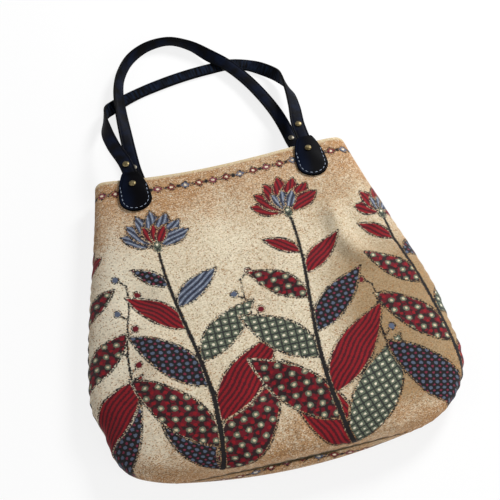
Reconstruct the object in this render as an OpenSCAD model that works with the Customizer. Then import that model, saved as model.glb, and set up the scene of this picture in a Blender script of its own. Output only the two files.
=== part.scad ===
// Tapestry tote bag with two leather handles, lying empty on its back with the handles laid out.
// X runs across the bag, Y from the bottom seam to the mouth, Z up from the table it lies on.

/* [Body] */
// Width across the mouth
rim_w = 320; // [290:1:350]
// Greatest width of the body
body_w = 416; // [380:1:450]
// Height from the rim to the ends of the bottom seam
body_h = 384; // [350:1:420]
// Radius of the bottom corners
corner_r = 96; // [75:1:115]
// How fast the sides flare out below the rim
flare = 1.4; // [1.2:0.1:3]
// Height of the front above the table at its fullest
body_d = 52; // [46:1:64]
// Gap between the front and back hems in the middle of the mouth
mouth_gap = 17; // [13:1:22]
// Height of the side seams above the table
side_seam_z = 17; // [14:1:20]
// Height of the bottom seam above the table, in its middle
bottom_seam_z = 24; // [20:1:28]
// How far the bottom seam bows out in its middle
bottom_bow = 2; // [0:1:12]
// How far the rim dips in its middle
rim_dip = 13; // [0:1:16]
// How far the rim drops at its rounded ends
rim_drop = 9; // [0:1:14]
// How far the slack bottom leans to the right
body_lean = 4; // [0:1:12]

/* [Cloth] */
// Thickness of the tapestry cloth
cloth_t = 1.6; // [1.2:0.1:2.2]
// Depth of the doubled hem round the mouth
hem_h = 42; // [34:1:60]
// Thickness of the lining cloth
lining_t = 0.8; // [0.6:0.1:1.2]

/* [Handles] */
// Width of a handle strap
strap_w = 17; // [14:0.5:20]
// Thickness of a handle strap
strap_t = 3.4; // [2.8:0.1:4.4]
// Length of strap held under a tab, below its rivet
strap_tail = 18; // [14:1:22]
// How far the handles reach beyond the rim
handle_reach = 232; // [222:1:242]

/* [Tabs] */
// Width of a leather tab
tab_w = 39; // [36:1:44]
// Height of a leather tab
tab_h = 63; // [58:1:68]
// Thickness of the tab leather
tab_t = 2.2; // [1.8:0.1:2.8]
// Distance of the front tabs from the middle of the bag
front_tab_x = 110; // [98:1:116]
// Distance of the back tabs from the middle of the bag
back_tab_x = 103; // [94:1:112]
// How far the front tabs sit to the left of the middle
tab_shift = 2.5; // [0:0.5:5]

/* [Rivets] */
// Diameter of a rivet's domed cap
cap_d = 8.5; // [7:0.5:11]
// Height of a rivet's domed cap
cap_h = 2.2; // [1.6:0.1:3]
// Diameter of a rivet's post
post_d = 3; // [2.4:0.1:4]
// Distance of the tab rivets below the rim
rivet_drop = 14; // [12:1:16]
// Height of the front handle's strap rivets above the rim
front_rivet_y = 18; // [16:1:22]
// Height of the back handle's strap rivets above the rim
back_rivet_y = 28; // [25:1:32]

/* [Hidden] */
$fn = 48;

// Clearances between pieces that lie on each other
seat_gap = 0.3;
hole_gap = 0.2;
strap_seat = 0.45;
strap_cap_gap = 0.4;
lining_ease = 1;

// Steps of the cloth grids and of the straps
taper_rows = 12;
corner_rows = 9;
cols = 26;
ring_step = 8;

// Front of the bag: squareness of its edges, length over which it reaches its full height
rim_round = 5;
side_round = 3;
bottom_round = 5;
crown_len = 200;
// Rim: width of its rounded ends, how fast its dip fades downwards, how far the dip leans to the left
rim_end = 14;
dip_fade = 8;
dip_slant = 0.5;
// Back of the bag: width of its rounded sides, arc with which it turns up to the bottom seam
back_edge = 26;
tuck = 150;
tuck_from = 40;
corner_blend = 4;
// Seams: how fast they rise to the bottom seam, reach of their level edges, rise at the bottom seam's ends
seam_rise = 6;
seam_zone = 14;
seam_end = 0.6;
seam_end_z = lerp(side_seam_z, bottom_seam_z, seam_end);
bottom_zone = 0.25;
// Hem: step down to the single cloth, and thickness of the doubled cloth
hem_step = 0.8;
hem_t = 2 * cloth_t;
taper_len = body_h - corner_r;
tuck_r = bottom_seam_z / (1 - cos(tuck));

// The back rises towards the mouth to make room for its tabs, straps and rivets
rivet_stack = 2 * strap_seat + strap_t + tab_t + cap_h + seat_gap;
rivet_clear = 1;
lift_below_hem = 60;
lift_len = hem_h + lift_below_hem;
back_lift = (rivet_stack + rivet_clear) / pow(1 - (rivet_drop + cap_d) / lift_len, 2);
rim_front_z = back_lift + 2 * hem_t + mouth_gap;

// Soft folds of the front: across, down from the rim, direction, half length, half width, height
folds = [
    [131, 148, -70, 18, 20, 3.2],
    [97, 129, 76, 29, 11, -3.2],
    [109, 182, -47, 23, 10, -3],
    [-128, 182, 86, 20, 17, -2.4],
    [-126, 256, 86, 44, 18, 1.8],
    [-16, 71, 82, 35, 20, -2],
    [-14, 311, -61, 20, 18, -2.2],
    [114, 301, -85, 32, 26, -2.2]
];

// Tab outline, up from the rivet and out from the middle: steps of its straight part and of its round end
tab_rise = 7;
tab_side = 1;
tab_swell = 0.7;
tab_top = rivet_drop + tab_rise;
tab_top_w = strap_w + 2 * tab_side;
tab_round_y = tab_top - tab_h + tab_w / 2;
tab_shares = [0, 0.05, 0.12, 0.24, 0.4, 0.58, 0.76, 0.92, 1];
tab_angles = [18, 36, 54, 70, 82];
tab_cols = [-1, -0.85, -0.7, -0.55, -0.4, 0, 0.4, 0.55, 0.7, 0.85, 1];
// The tab's leather comes down beside the strap and below its end
tab_ramp = 9.5;
tail_ramp = 14;
tab_ease = 2.5;
tab_seat = 0.6;
tail_gap = 1;
tab_flat = strap_w / 2 + tab_ease;
strap_edge = 0.8;

// The front handle lies askew: its left strap rivet is lower by this much, its right one higher
rivet_skew = 6;
// Route of the front handle, between its tab rivets: tab or middle it is measured from (-1, 0, 1), across
// from there and up from the rim as shares of its reach, share of the tab's height, outer face's direction
front_route = [
    [-1, -0.025, (front_rivet_y - rivet_skew) / handle_reach, 0.97, [-0.05, 0, 1]],
    [-1, -0.073, 0.216, 0.78, [-0.25, 0, 0.97]],
    [-1, -0.095, 0.345, 0.54, [-0.6, 0, 0.8]],
    [-1, -0.095, 0.444, 0.3, [-0.93, 0.1, 0.35]],
    [-1, -0.073, 0.539, 0.09, [-0.65, 0.65, -0.4]],
    [-1, -0.034, 0.582, 0.02, [-0.2, 0.5, -0.84]],
    [-1, 0.022, 0.621, 0.02, [0, 0.15, -0.98]],
    [-1, 0.095, 0.655, 0.02, [0, 0, -1]],
    [0, -0.237, 0.698, 0.02, [0, 0, -1]],
    [0, -0.078, 0.733, 0.02, [0, 0, -1]],
    [0, 0.082, 0.754, 0.02, [0, 0, -1]],
    [0, 0.22, 0.759, 0.02, [0, 0.05, -1]],
    [1, -0.142, 0.72, 0.02, [0.05, 0.15, -0.98]],
    [1, -0.069, 0.655, 0.03, [0.35, 0.5, -0.79]],
    [1, -0.017, 0.586, 0.09, [0.75, 0.45, -0.48]],
    [1, 0.004, 0.517, 0.2, [0.97, 0.2, 0.1]],
    [1, 0.013, 0.414, 0.42, [0.72, 0, 0.7]],
    [1, 0.004, 0.267, 0.7, [0.4, 0, 0.92]],
    [1, -0.017, (front_rivet_y + rivet_skew) / handle_reach, 0.97, [0.05, 0, 1]]
];

// Route of the back handle, in the same form
back_route = [
    [-1, -0.017, back_rivet_y / handle_reach, 1, [0, 0, -1]],
    [-1, -0.022, 0.216, 1, [-0.05, 0, -1]],
    [-1, -0.026, 0.362, 1, [-0.3, 0, -0.95]],
    [-1, -0.026, 0.526, 0.9, [-0.6, 0.05, -0.8]],
    [-1, -0.017, 0.664, 0.75, [-0.75, 0.2, -0.63]],
    [-1, 0.017, 0.797, 0.3, [-0.75, 0.5, -0.43]],
    [-1, 0.095, 0.918, 0.1, [-0.6, 0.74, -0.3]],
    [0, -0.228, 0.991, 0.05, [-0.3, 0.95, -0.05]],
    [0, -0.103, 1, 0.05, [0.1, 0.98, 0.1]],
    [0, 0.004, 0.94, 0.1, [0.5, 0.85, -0.1]],
    [0, 0.099, 0.836, 0.35, [0.5, 0.57, -0.65]],
    [0, 0.207, 0.72, 0.8, [0.1, 0.1, -0.99]],
    [0, 0.28, 0.603, 0.9, [0, 0, -1]],
    [1, -0.103, 0.466, 1, [0, 0, -1]],
    [1, -0.052, 0.315, 1, [0, 0, -1]],
    [1, -0.026, 0.185, 1, [0, 0, -1]],
    [1, -0.017, back_rivet_y / handle_reach, 1, [0, 0, -1]]
];

// General helpers
function lerp(a, b, t) = a + (b - a) * t;
function clamp01(t) = min(1, max(0, t));
function ease(t) = let (q = clamp01(t)) q * q * (3 - 2 * q);
function unit(v) = v / norm(v);
function dome(q, n) = pow(max(0, 1 - pow(min(1, abs(q)), n)), 1 / n);
function first3(v) = [v[0], v[1], v[2]];
function last3(v) = [v[3], v[4], v[5]];

// Rows of cloth run from the rim (0) past the start of the corners (1) to the bottom seam (2),
// and columns from the left seam (-1) to the right seam (1).
function row_at(d) = d / taper_len;
function corner_a(p) = 90 * max(0, p - 1);
function down(p) = p < 1 ? taper_len * p : taper_len + corner_r * sin(corner_a(p));
function share_down(p) = clamp01(down(p) / body_h);
function flare_w(p) = lerp(rim_w, body_w, 1 - pow(1 - clamp01(p), flare));
function half_w(p) = flare_w(p) / 2 - corner_r * (1 - cos(corner_a(p)));
function lean(p) = body_lean * sin(90 * share_down(p));
function across(s, p) = s * half_w(p) + lean(p);
function column_at(x, p) = (x - lean(p)) / half_w(p);
function round_off(s, w) = let (q = max(0, abs(s) - 1 + w) / w) 1 - sqrt(max(0, 1 - q * q));
function rim_sag(s, p) =
    let (dip = rim_dip * (1 - s * s) * (1 - dip_slant * s))
    (dip + rim_drop * round_off(s, rim_end / half_w(p))) * pow(1 - share_down(p), dip_fade);

// Outer face of the front
function side_z(p) = lerp(side_seam_z, seam_end_z, pow(share_down(p), seam_rise));
function seam_z(s, p) =
    side_z(p) + (bottom_seam_z - side_z(p)) * (1 - s * s) * pow(share_down(p), seam_rise);
function crown_share(p) = sin(90 * clamp01(down(p) / crown_len));
function crown_z(p) = lerp(rim_front_z, body_d, crown_share(p));
function squareness(p) = lerp(rim_round, side_round, crown_share(p));
function fold_z(x, d, f) =
    let (u = (x - f[0]) * cos(f[2]) + (f[1] - d) * sin(f[2]))
    let (v = (f[1] - d) * cos(f[2]) - (x - f[0]) * sin(f[2]))
    f[5] * exp(-pow(u / f[3], 2) - pow(v / f[4], 2));
function folds_z(x, d) = [for (f = folds) fold_z(x, d, f)] * [for (f = folds) 1];
function front(s, p) =
    let (x = across(s, p))
    let (y = -down(p) - rim_sag(s, p) - bottom_bow * (1 - s * s) * pow(share_down(p), seam_rise))
    let (full = dome(s, squareness(p)) * dome(share_down(p), bottom_round))
    [x, y, seam_z(s, p) + seat_gap + full * (crown_z(p) - side_z(p) + folds_z(x, down(p)))];

// Outer face of the back: flat on the table, raised at the mouth, round at the sides and bottom
function tuck_a(p) = tuck * clamp01((corner_a(p) - tuck_from) / (90 - tuck_from));
function tuck_y() = tuck_r * sin(tuck) - body_h - bottom_bow;
function back_middle(p) =
    p < 1 ? [-down(p), back_lift * pow(1 - clamp01(down(p) / lift_len), 2)] :
    corner_a(p) < tuck_from ? [lerp(-taper_len, tuck_y(), corner_a(p) / tuck_from), 0] :
    [tuck_y() - tuck_r * sin(tuck_a(p)), tuck_r * (1 - cos(tuck_a(p)))];
function back(s, p) =
    let (middle = back_middle(p))
    let (rise = lerp(round_off(s, back_edge / half_w(p)), s * s, pow(corner_a(p) / 90, corner_blend)))
    [across(s, p), lerp(middle[0], -down(p), s * s) - rim_sag(s, p), lerp(middle[1], side_z(p), rise)];

// Directions out of the cloth, from nearby points of its face
probe = 0.01;
function front_n(s, p) =
    unit(cross(
        front(s + probe, p) - front(s - probe, p),
        front(s, p - probe) - front(s, min(2, p + probe))));
function back_n(s, p) =
    unit(cross(
        back(s, p - probe) - back(s, min(2, p + probe)),
        back(s + probe, p) - back(s - probe, p)));

// Directions into the cloth: level and square to the seam along it, square to the face away from it
function near_side(s, p) = 1 - ease((1 - abs(s)) * half_w(p) / seam_zone);
function near_bottom(p) = ease(1 - (2 - p) / bottom_zone);
function seam_in(s, p) = unit([-s * abs(s) * cos(corner_a(p)), sin(corner_a(p)), 0]);
function inward(s, p, n) =
    let (near = max(near_side(s, p), near_bottom(p)))
    near == 0 ? -n : unit(lerp(-n, seam_in(s, p), near));
function front_at(s, p, depth) = front(s, p) + depth * inward(s, p, front_n(s, p));
function back_at(s, p, depth) = back(s, p) + depth * inward(s, p, back_n(s, p));

// Rows and columns of the grids; the panels are doubled down to the hem's edge
columns = [for (j = [0 : cols]) sin(90 * (2 * j / cols - 1))];
hem_rows = [0, row_at(hem_h / 2), row_at(hem_h), row_at(hem_h + hem_step)];
low_rows = [for (i = [1 : taper_rows]) row_at(lerp(hem_h + hem_step, taper_len, i / taper_rows))];
turn_rows = [for (i = [1 : corner_rows]) 1 + i / corner_rows];
panel_rows = concat(hem_rows, low_rows, turn_rows);
lining_rows = concat([row_at(hem_h + hem_step + seat_gap)], low_rows, turn_rows);
function panel_depth(p) = down(p) < hem_h + hem_step / 2 ? hem_t : cloth_t;
function front_face() = [for (p = panel_rows) [for (s = columns) front(s, p)]];
function back_face() = [for (p = panel_rows) [for (s = columns) back(s, p)]];
function lining_depth(p, t) = cloth_t + seat_gap + lining_ease * near_bottom(p) + t;
function front_lining_face(t) =
    [for (p = lining_rows) [for (s = columns) front_at(s, p, lining_depth(p, t))]];
function back_lining_face(t) =
    [for (p = lining_rows) [for (s = columns) back_at(s, p, lining_depth(p, t))]];
front_inside = [for (p = panel_rows) [for (s = columns) front_at(s, p, panel_depth(p))]];
back_inside = [for (p = panel_rows) [for (s = columns) back_at(s, p, panel_depth(p))]];

// Places on the tapered part of the cloth, across and down from the middle of the rim
function on_front(x, d) = let (p = row_at(d)) front(column_at(x, p), p);
function on_back(x, d) = let (p = row_at(d)) back(column_at(x, p), p);
function rivet_row() = row_at(rivet_drop);
function front_x(k) = k * front_tab_x - tab_shift;
function front_tab_n(x) = front_n(column_at(x, rivet_row()), rivet_row());
function back_tab_n(x) = back_n(column_at(x, rivet_row()), rivet_row());

// Strap centre lines: each point holds its place and the direction of its outer face
strap_mid = strap_seat + strap_t / 2;
tail_steps = [-strap_tail, -strap_tail / 2, 0, rivet_drop];
function front_seat(x, up) =
    let (p = row_at(rivet_drop - up))
    let (n = front_n(column_at(x, p), p))
    concat(on_front(x, rivet_drop - up) + strap_mid * n, n);
function back_seat(x, up) =
    let (p = row_at(rivet_drop - up))
    let (n = back_n(column_at(x, p), p))
    concat(on_back(x, rivet_drop - up) + strap_mid * n, n);
function route_x(r, tab_x) = r[0] * tab_x + r[1] * handle_reach;
function route_way(route, i, tab_x) =
    let (a = route[max(0, i - 1)])
    let (b = route[min(len(route) - 1, i + 1)])
    unit([route_x(b, tab_x) - route_x(a, tab_x), (b[2] - a[2]) * handle_reach, 0]);
function half_height(n, way) = strap_t / 2 * abs(n[2]) + strap_w / 2 * abs(unit(cross(way, n))[2]);
function route_points(route, tab_x, seat_z) = [
    for (i = [0 : len(route) - 1])
        let (r = route[i])
        let (n = unit(r[4]))
        let (z = r[3] * seat_z + half_height(n, route_way(route, i, tab_x)))
        concat([route_x(r, tab_x), r[2] * handle_reach, z], n)
];
front_seat_z = front_seat(front_x(1), 0)[2] - strap_t / 2;
back_seat_z = back_seat(back_tab_x, 0)[2] - strap_t / 2;
front_mid_points = route_points(front_route, front_tab_x, front_seat_z);
back_mid_points = route_points(back_route, back_tab_x, back_seat_z);
front_line = concat(
    [for (u = tail_steps) front_seat(front_x(-1), u)],
    front_mid_points,
    [for (i = [len(tail_steps) - 1 : -1 : 0]) front_seat(front_x(1), tail_steps[i])]);
back_line = concat(
    [for (u = tail_steps) back_seat(-back_tab_x, u)],
    back_mid_points,
    [for (i = [len(tail_steps) - 1 : -1 : 0]) back_seat(back_tab_x, tail_steps[i])]);

// Smooth curve through the points of a strap, and the eight corners of its section at each step
function span(line, i) = norm(first3(line[i + 1]) - first3(line[i]));
function slope(line, i) = (line[i + 1] - line[i]) / span(line, i);
function tangent(line, i) =
    i == 0 ? slope(line, 0) :
    i == len(line) - 1 ? slope(line, i - 1) :
    let (before = span(line, i - 1))
    let (after = span(line, i))
    (slope(line, i) * before + slope(line, i - 1) * after) / (before + after);
function curve_at(line, i, t) =
    let (start = tangent(line, i) * span(line, i))
    let (end = tangent(line, i + 1) * span(line, i))
    let (step = line[i + 1] - line[i])
    line[i] + start * t + (3 * step - 2 * start - end) * t * t + (start + end - 2 * step) * t * t * t;
function span_steps(line, i) = max(1, round(span(line, i) / ring_step));
function smooth_line(line) = concat(
    [for (i = [0 : len(line) - 2])
        for (k = [0 : span_steps(line, i) - 1]) curve_at(line, i, k / span_steps(line, i))],
    [line[len(line) - 1]]);
section = [
    for (q = [[1, 1], [-1, 1], [-1, -1], [1, -1]])
        each q[0] * q[1] > 0
            ? [[q[0] * strap_t / 2, q[1] * (strap_w / 2 - strap_edge)],
               [q[0] * (strap_t / 2 - strap_edge), q[1] * strap_w / 2]]
            : [[q[0] * (strap_t / 2 - strap_edge), q[1] * strap_w / 2],
               [q[0] * strap_t / 2, q[1] * (strap_w / 2 - strap_edge)]]
];
function ring(line, i) =
    let (ahead = first3(line[min(len(line) - 1, i + 1)]))
    let (behind = first3(line[max(0, i - 1)]))
    let (way = unit(ahead - behind))
    let (side = unit(cross(way, last3(line[i]))))
    let (out = cross(side, way))
    [for (q = section) first3(line[i]) + q[0] * out + q[1] * side];

// Tab outline and its lift over the strap
tab_rows = concat(
    [for (q = tab_shares)
        [lerp(tab_top, tab_round_y, q), lerp(tab_top_w, tab_w, pow(sin(90 * q), tab_swell)) / 2]],
    [for (a = tab_angles) [tab_round_y - tab_w / 2 * sin(a), tab_w / 2 * cos(a)]]);
function tab_lift(a, b) =
    tab_seat + (strap_t + 2 * strap_seat - tab_seat) * (1 - ease((abs(a) - tab_flat) / tab_ramp))
    * (1 - ease((-b - strap_tail - tail_gap) / tail_ramp));
function front_tab_face(x, raise) = [
    for (r = tab_rows) [for (c = tab_cols)
        on_front(x + c * r[1], rivet_drop - r[0]) + (tab_lift(c * r[1], r[0]) + raise) * front_tab_n(x)]
];
function back_tab_face(x, raise) = [
    for (r = tab_rows) [for (c = tab_cols)
        on_back(x + c * r[1], rivet_drop - r[0]) + (tab_lift(c * r[1], r[0]) + raise) * back_tab_n(x)]
];

// The origin lies on the table under the middle of the whole outline
left_reach = max([for (p = panel_rows) -across(-1, p)]);
right_reach = max([for (p = panel_rows) across(1, p)]);
bottom_reach = max([for (p = turn_rows) -back(0, p)[1]]);
back_curve = smooth_line(back_line);
top_reach = max([for (i = [0 : len(back_curve) - 1]) max([for (q = ring(back_curve, i)) q[1]])]);
middle = [(left_reach - right_reach) / 2, (bottom_reach - top_reach) / 2, 0];

// A closed sheet between two grids of points of the same size, the first one on top
module sheet(top, bottom) {
    n = len(top[0]);
    m = len(top);
    low = m * n;
    function pair(a, b, c, d) = [[a, b, c], [a, c, d]];
    polyhedron(
        points = concat([for (r = top) each r], [for (r = bottom) each r]),
        faces = concat(
            [for (i = [0 : m - 2], j = [0 : n - 2]) let (a = i * n + j)
                each pair(a, a + 1, a + n + 1, a + n)],
            [for (i = [0 : m - 2], j = [0 : n - 2]) let (a = low + i * n + j)
                each pair(a, a + n, a + n + 1, a + 1)],
            [for (j = [0 : n - 2]) each pair(j + 1, j, low + j, low + j + 1)],
            [for (j = [0 : n - 2]) let (a = (m - 1) * n + j) each pair(a, a + 1, low + a + 1, low + a)],
            [for (i = [0 : m - 2]) let (a = i * n) each pair(a, a + n, low + a + n, low + a)],
            [for (i = [0 : m - 2]) let (a = i * n + n - 1) each pair(a + n, a, low + a, low + a + n)]
        ));
}

// A flat strap swept along a line of points
module strap(line) {
    path = smooth_line(line);
    n = len(section);
    last = len(path) - 1;
    polyhedron(
        points = [for (i = [0 : last]) each ring(path, i)],
        faces = concat(
            [[for (j = [0 : n - 1]) j]],
            [[for (j = [0 : n - 1]) last * n + n - 1 - j]],
            [for (i = [0 : last - 1], j = [0 : n - 1])
                let (a = i * n + j)
                let (b = i * n + (j + 1) % n)
                each [[a, a + n, b + n], [a, b + n, b]]]
        ));
}

// Turns Z to a direction, at a place given with it
module along(place) {
    n = last3(place);
    translate(first3(place)) rotate([0, acos(n[2]), atan2(n[1], n[0])]) children();
}

// A rivet with its cap's underside at the origin, its post going down through what it grips
module rivet(grip) {
    back_cap_t = 1.2;
    back_cap_r = cap_d / 2 - 0.3;
    cap_edge = 0.6;
    steps = 8;
    rotate_extrude() polygon(concat(
        [[0, -grip - back_cap_t], [back_cap_r, -grip - back_cap_t], [back_cap_r, -grip],
         [post_d / 2, -grip], [post_d / 2, 0]],
        [for (i = [0 : steps]) let (a = 90 * i / steps)
            [i == steps ? 0 : cap_d / 2 * cos(a), i == 0 ? 0 : cap_edge + (cap_h - cap_edge) * sin(a)]]
    ));
}

module rivet_hole() {
    reach = rivet_stack + hem_t + cap_d;
    cylinder(d = post_d + 2 * hole_gap, h = 2 * reach, center = true);
}

// Places of the rivets: middle of the strap's thickness, and the outer face's direction
function strap_place(line, i) =
    let (way = unit(first3(tangent(line, i))))
    let (side = unit(cross(way, last3(line[i]))))
    concat(first3(line[i]), cross(side, way));
front_tab_places = [for (k = [-1, 1]) front_seat(front_x(k), 0)];
back_tab_places = [for (k = [-1, 1]) back_seat(k * back_tab_x, 0)];
tail_n = len(tail_steps);
strap_places = [
    strap_place(front_line, tail_n), strap_place(front_line, len(front_line) - 1 - tail_n),
    strap_place(back_line, tail_n), strap_place(back_line, len(back_line) - 1 - tail_n)
];
tab_grip = hem_t + 2 * strap_seat + strap_t + tab_t + 2 * seat_gap;
strap_grip = strap_t + 2 * strap_cap_gap;

module front_panel() {
    color("#d9c49b") translate(middle) difference() {
        sheet(front_face(), front_inside);
        for (place = front_tab_places) along(place) rivet_hole();
    }
}

module back_panel() {
    color("#d2bb90") translate(middle) difference() {
        sheet(back_inside, back_face());
        for (place = back_tab_places) along(place) rivet_hole();
    }
}

module front_lining() {
    color("#8d8064") translate(middle) sheet(front_lining_face(0), front_lining_face(lining_t));
}

module back_lining() {
    color("#8d8064") translate(middle) sheet(back_lining_face(lining_t), back_lining_face(0));
}

module front_strap() {
    color("#161d2b") translate(middle) difference() {
        strap(front_line);
        for (place = front_tab_places) along(place) rivet_hole();
        for (i = [0, 1]) along(strap_places[i]) rivet_hole();
    }
}

module back_strap() {
    color("#161d2b") translate(middle) difference() {
        strap(back_line);
        for (place = back_tab_places) along(place) rivet_hole();
        for (i = [2, 3]) along(strap_places[i]) rivet_hole();
    }
}

module front_tab(k) {
    color("#1b2333") translate(middle) difference() {
        sheet(front_tab_face(front_x(k), tab_t), front_tab_face(front_x(k), 0));
        along(front_seat(front_x(k), 0)) rivet_hole();
    }
}

module back_tab(k) {
    color("#1b2333") translate(middle) difference() {
        sheet(back_tab_face(k * back_tab_x, 0), back_tab_face(k * back_tab_x, tab_t));
        along(back_seat(k * back_tab_x, 0)) rivet_hole();
    }
}

module tab_rivets() {
    color("#6b5e3a") translate(middle)
        for (place = concat(front_tab_places, back_tab_places))
            along(place) translate([0, 0, strap_t / 2 + strap_seat + tab_t + seat_gap]) rivet(tab_grip);
}

module strap_rivets() {
    color("#6b5e3a") translate(middle)
        for (place = strap_places)
            along(place) translate([0, 0, strap_t / 2 + strap_cap_gap]) rivet(strap_grip);
}

front_panel();
back_panel();
front_lining();
back_lining();
front_strap();
back_strap();
front_tab(-1);  // front_left_tab
front_tab(1);  // front_right_tab
back_tab(-1);  // back_left_tab
back_tab(1);  // back_right_tab
tab_rivets();
strap_rivets();
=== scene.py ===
"""Dresses the tapestry tote bag: woven cloth, lining, leather handles and tabs, stitches and rivets."""

import math

import bmesh
import bpy
import numpy as np
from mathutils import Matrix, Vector


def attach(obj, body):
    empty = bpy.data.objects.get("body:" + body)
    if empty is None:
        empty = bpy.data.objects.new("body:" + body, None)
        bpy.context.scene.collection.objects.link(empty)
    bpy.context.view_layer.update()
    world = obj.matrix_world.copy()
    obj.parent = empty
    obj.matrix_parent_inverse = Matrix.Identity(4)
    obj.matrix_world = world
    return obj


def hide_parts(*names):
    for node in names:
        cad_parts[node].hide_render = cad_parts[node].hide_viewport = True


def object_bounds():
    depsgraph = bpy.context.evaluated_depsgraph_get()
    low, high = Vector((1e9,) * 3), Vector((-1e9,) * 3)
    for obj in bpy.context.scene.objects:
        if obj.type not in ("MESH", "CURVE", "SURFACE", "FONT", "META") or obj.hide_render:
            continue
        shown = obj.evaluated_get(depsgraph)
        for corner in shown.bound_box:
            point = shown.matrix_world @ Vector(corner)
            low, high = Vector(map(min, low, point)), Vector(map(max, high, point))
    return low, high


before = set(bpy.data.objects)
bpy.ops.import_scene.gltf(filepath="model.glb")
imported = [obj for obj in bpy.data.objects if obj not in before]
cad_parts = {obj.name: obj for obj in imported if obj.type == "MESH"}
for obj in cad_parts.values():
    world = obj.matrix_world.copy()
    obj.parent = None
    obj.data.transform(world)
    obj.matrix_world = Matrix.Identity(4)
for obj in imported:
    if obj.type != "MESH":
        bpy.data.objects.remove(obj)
cad_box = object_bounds()

# Sizes of the bag in millimetres, as in the part's source
MM = 0.001
QUARTER_TURN = math.pi / 2
RIM_W, BODY_W, BODY_H, CORNER_R, FLARE = 320, 416, 384, 96, 1.4
BODY_D, MOUTH_GAP, SIDE_Z, BOTTOM_Z = 52, 17, 17, 24
BOTTOM_BOW, RIM_DIP, RIM_DROP, LEAN = 2, 13, 9, 4
CLOTH_T, HEM_H, LINING_T = 1.6, 42, 0.8
STRAP_W, STRAP_T, STRAP_TAIL, HANDLE_REACH = 17, 3.4, 18, 232
TAB_W, TAB_H, TAB_T, FRONT_TAB_X, BACK_TAB_X, TAB_SHIFT = 39, 63, 2.2, 110, 103, 2.5
CAP_D, CAP_H, POST_D, RIVET_DROP = 8.5, 2.2, 3, 14
FRONT_RIVET_Y, BACK_RIVET_Y, RIVET_SKEW = 18, 28, 6
SEAT_GAP, STRAP_SEAT, STRAP_CAP_GAP, TAB_SEAT, LINING_EASE = 0.3, 0.45, 0.4, 0.6, 1
RIM_ROUND, SIDE_ROUND, BOTTOM_ROUND, CROWN_LEN = 5, 3, 5, 200
RIM_END, DIP_FADE, DIP_SLANT = 14, 8, 0.5
BACK_EDGE, TUCK, TUCK_FROM, CORNER_BLEND = 26, math.radians(150), math.radians(40), 4
SEAM_RISE, SEAM_ZONE, SEAM_END, BOTTOM_ZONE = 6, 14, 0.6, 0.25
LIFT_PAST_HEM, CAP_CLEAR = 60, 1
HEM_T = 2 * CLOTH_T
TAPER_LEN = BODY_H - CORNER_R
SEAM_END_Z = SIDE_Z + (BOTTOM_Z - SIDE_Z) * SEAM_END
TUCK_R = BOTTOM_Z / (1 - math.cos(TUCK))
RIVET_STACK = 2 * STRAP_SEAT + STRAP_T + TAB_T + CAP_H + SEAT_GAP
LIFT_LEN = HEM_H + LIFT_PAST_HEM
BACK_LIFT = (RIVET_STACK + CAP_CLEAR) / (1 - (RIVET_DROP + CAP_D) / LIFT_LEN) ** 2
RIM_FRONT_Z = BACK_LIFT + 2 * HEM_T + MOUTH_GAP

# Middle of the rim in the part's frame: the widest row is centred across, the bottom roll ends at the box
RIM_X = -LEAN * math.sin(QUARTER_TURN * TAPER_LEN / BODY_H)
RIM_Y = cad_box[0][1] / MM + BODY_H + BOTTOM_BOW + TUCK_R * (1 - math.sin(TUCK))

# Share by which the soft sides are drawn in under the rim, beyond the part's source
DRAWN_IN = 0.5

# Soft folds of the front, deeper than in the part's source: across, down from the rim, direction,
# half length, half width, height
FOLDS = (
    (122, 156, -75, 46, 34, -3),
    (112, 124, -93, 22, 13, 8.5),
    (117, 162, -68, 20, 13, 9),
    (136, 183, -20, 18, 13, 7),
    (143, 150, -80, 22, 16, -4),
    (-128, 182, 86, 20, 17, -5),
    (-126, 256, 86, 44, 18, 4),
    (-16, 71, 82, 35, 20, -2.5),
    (-14, 311, -61, 20, 18, -4.5),
    (114, 301, -85, 32, 26, -4.5),
)

# Small creases of the front near the bottom seam, in the same form
CREASES = (
    (7, 363, 58, 12, 6, 2.0),
    (108, 377, 55, 12, 6, 1.8),
    (-133, 352, 69, 13, 8, -2.2),
    (52, 372, 62, 10, 5, -1.4),
    (-52, 368, 74, 11, 6, 1.4),
)

# Pushes of the soft outline, beyond the part's source: across, up from the rim, reach, shift across and up
PUSHES = (
    (-197, -313, 22, 6.5, 1.5),
    (-176, -362, 22, -2.5, -2.5),
    (209, -278, 32, -4, 0),
)


# Shape of the cloth
def lerp(a, b, t):
    return a + (b - a) * t


def ease(t):
    q = np.clip(t, 0, 1)
    return q * q * (3 - 2 * q)


def unit(v):
    return v / np.maximum(np.linalg.norm(v, axis=-1, keepdims=True), 1e-12)


def dome(q, n):
    return np.maximum(0, 1 - np.minimum(1, np.abs(q)) ** n) ** (1 / n)


def corner_angle(p):
    return QUARTER_TURN * np.maximum(0, p - 1)


def down(p):
    return np.where(p < 1, TAPER_LEN * p, TAPER_LEN + CORNER_R * np.sin(corner_angle(p)))


def share_down(p):
    return np.clip(down(p) / BODY_H, 0, 1)


def half_width(p):
    """Half the width across; the soft sides are drawn in under the rim, unlike in the part's source."""
    q = np.clip(p, 0, 1)
    flared = lerp(RIM_W, BODY_W, lerp(1 - (1 - q) ** FLARE, ease(q), DRAWN_IN))
    return flared / 2 - CORNER_R * (1 - np.cos(corner_angle(p)))


def lean(p):
    return LEAN * np.sin(QUARTER_TURN * share_down(p))


def column_at(x, p):
    return (x - lean(p)) / half_width(p)


def round_off(s, w):
    q = np.maximum(0, np.abs(s) - 1 + w) / w
    return 1 - np.sqrt(np.maximum(0, 1 - q * q))


def rim_sag(s, p):
    dip = RIM_DIP * (1 - s * s) * (1 - DIP_SLANT * s)
    ends = RIM_DROP * round_off(s, RIM_END / half_width(p))
    return (dip + ends) * (1 - share_down(p)) ** DIP_FADE


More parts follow.
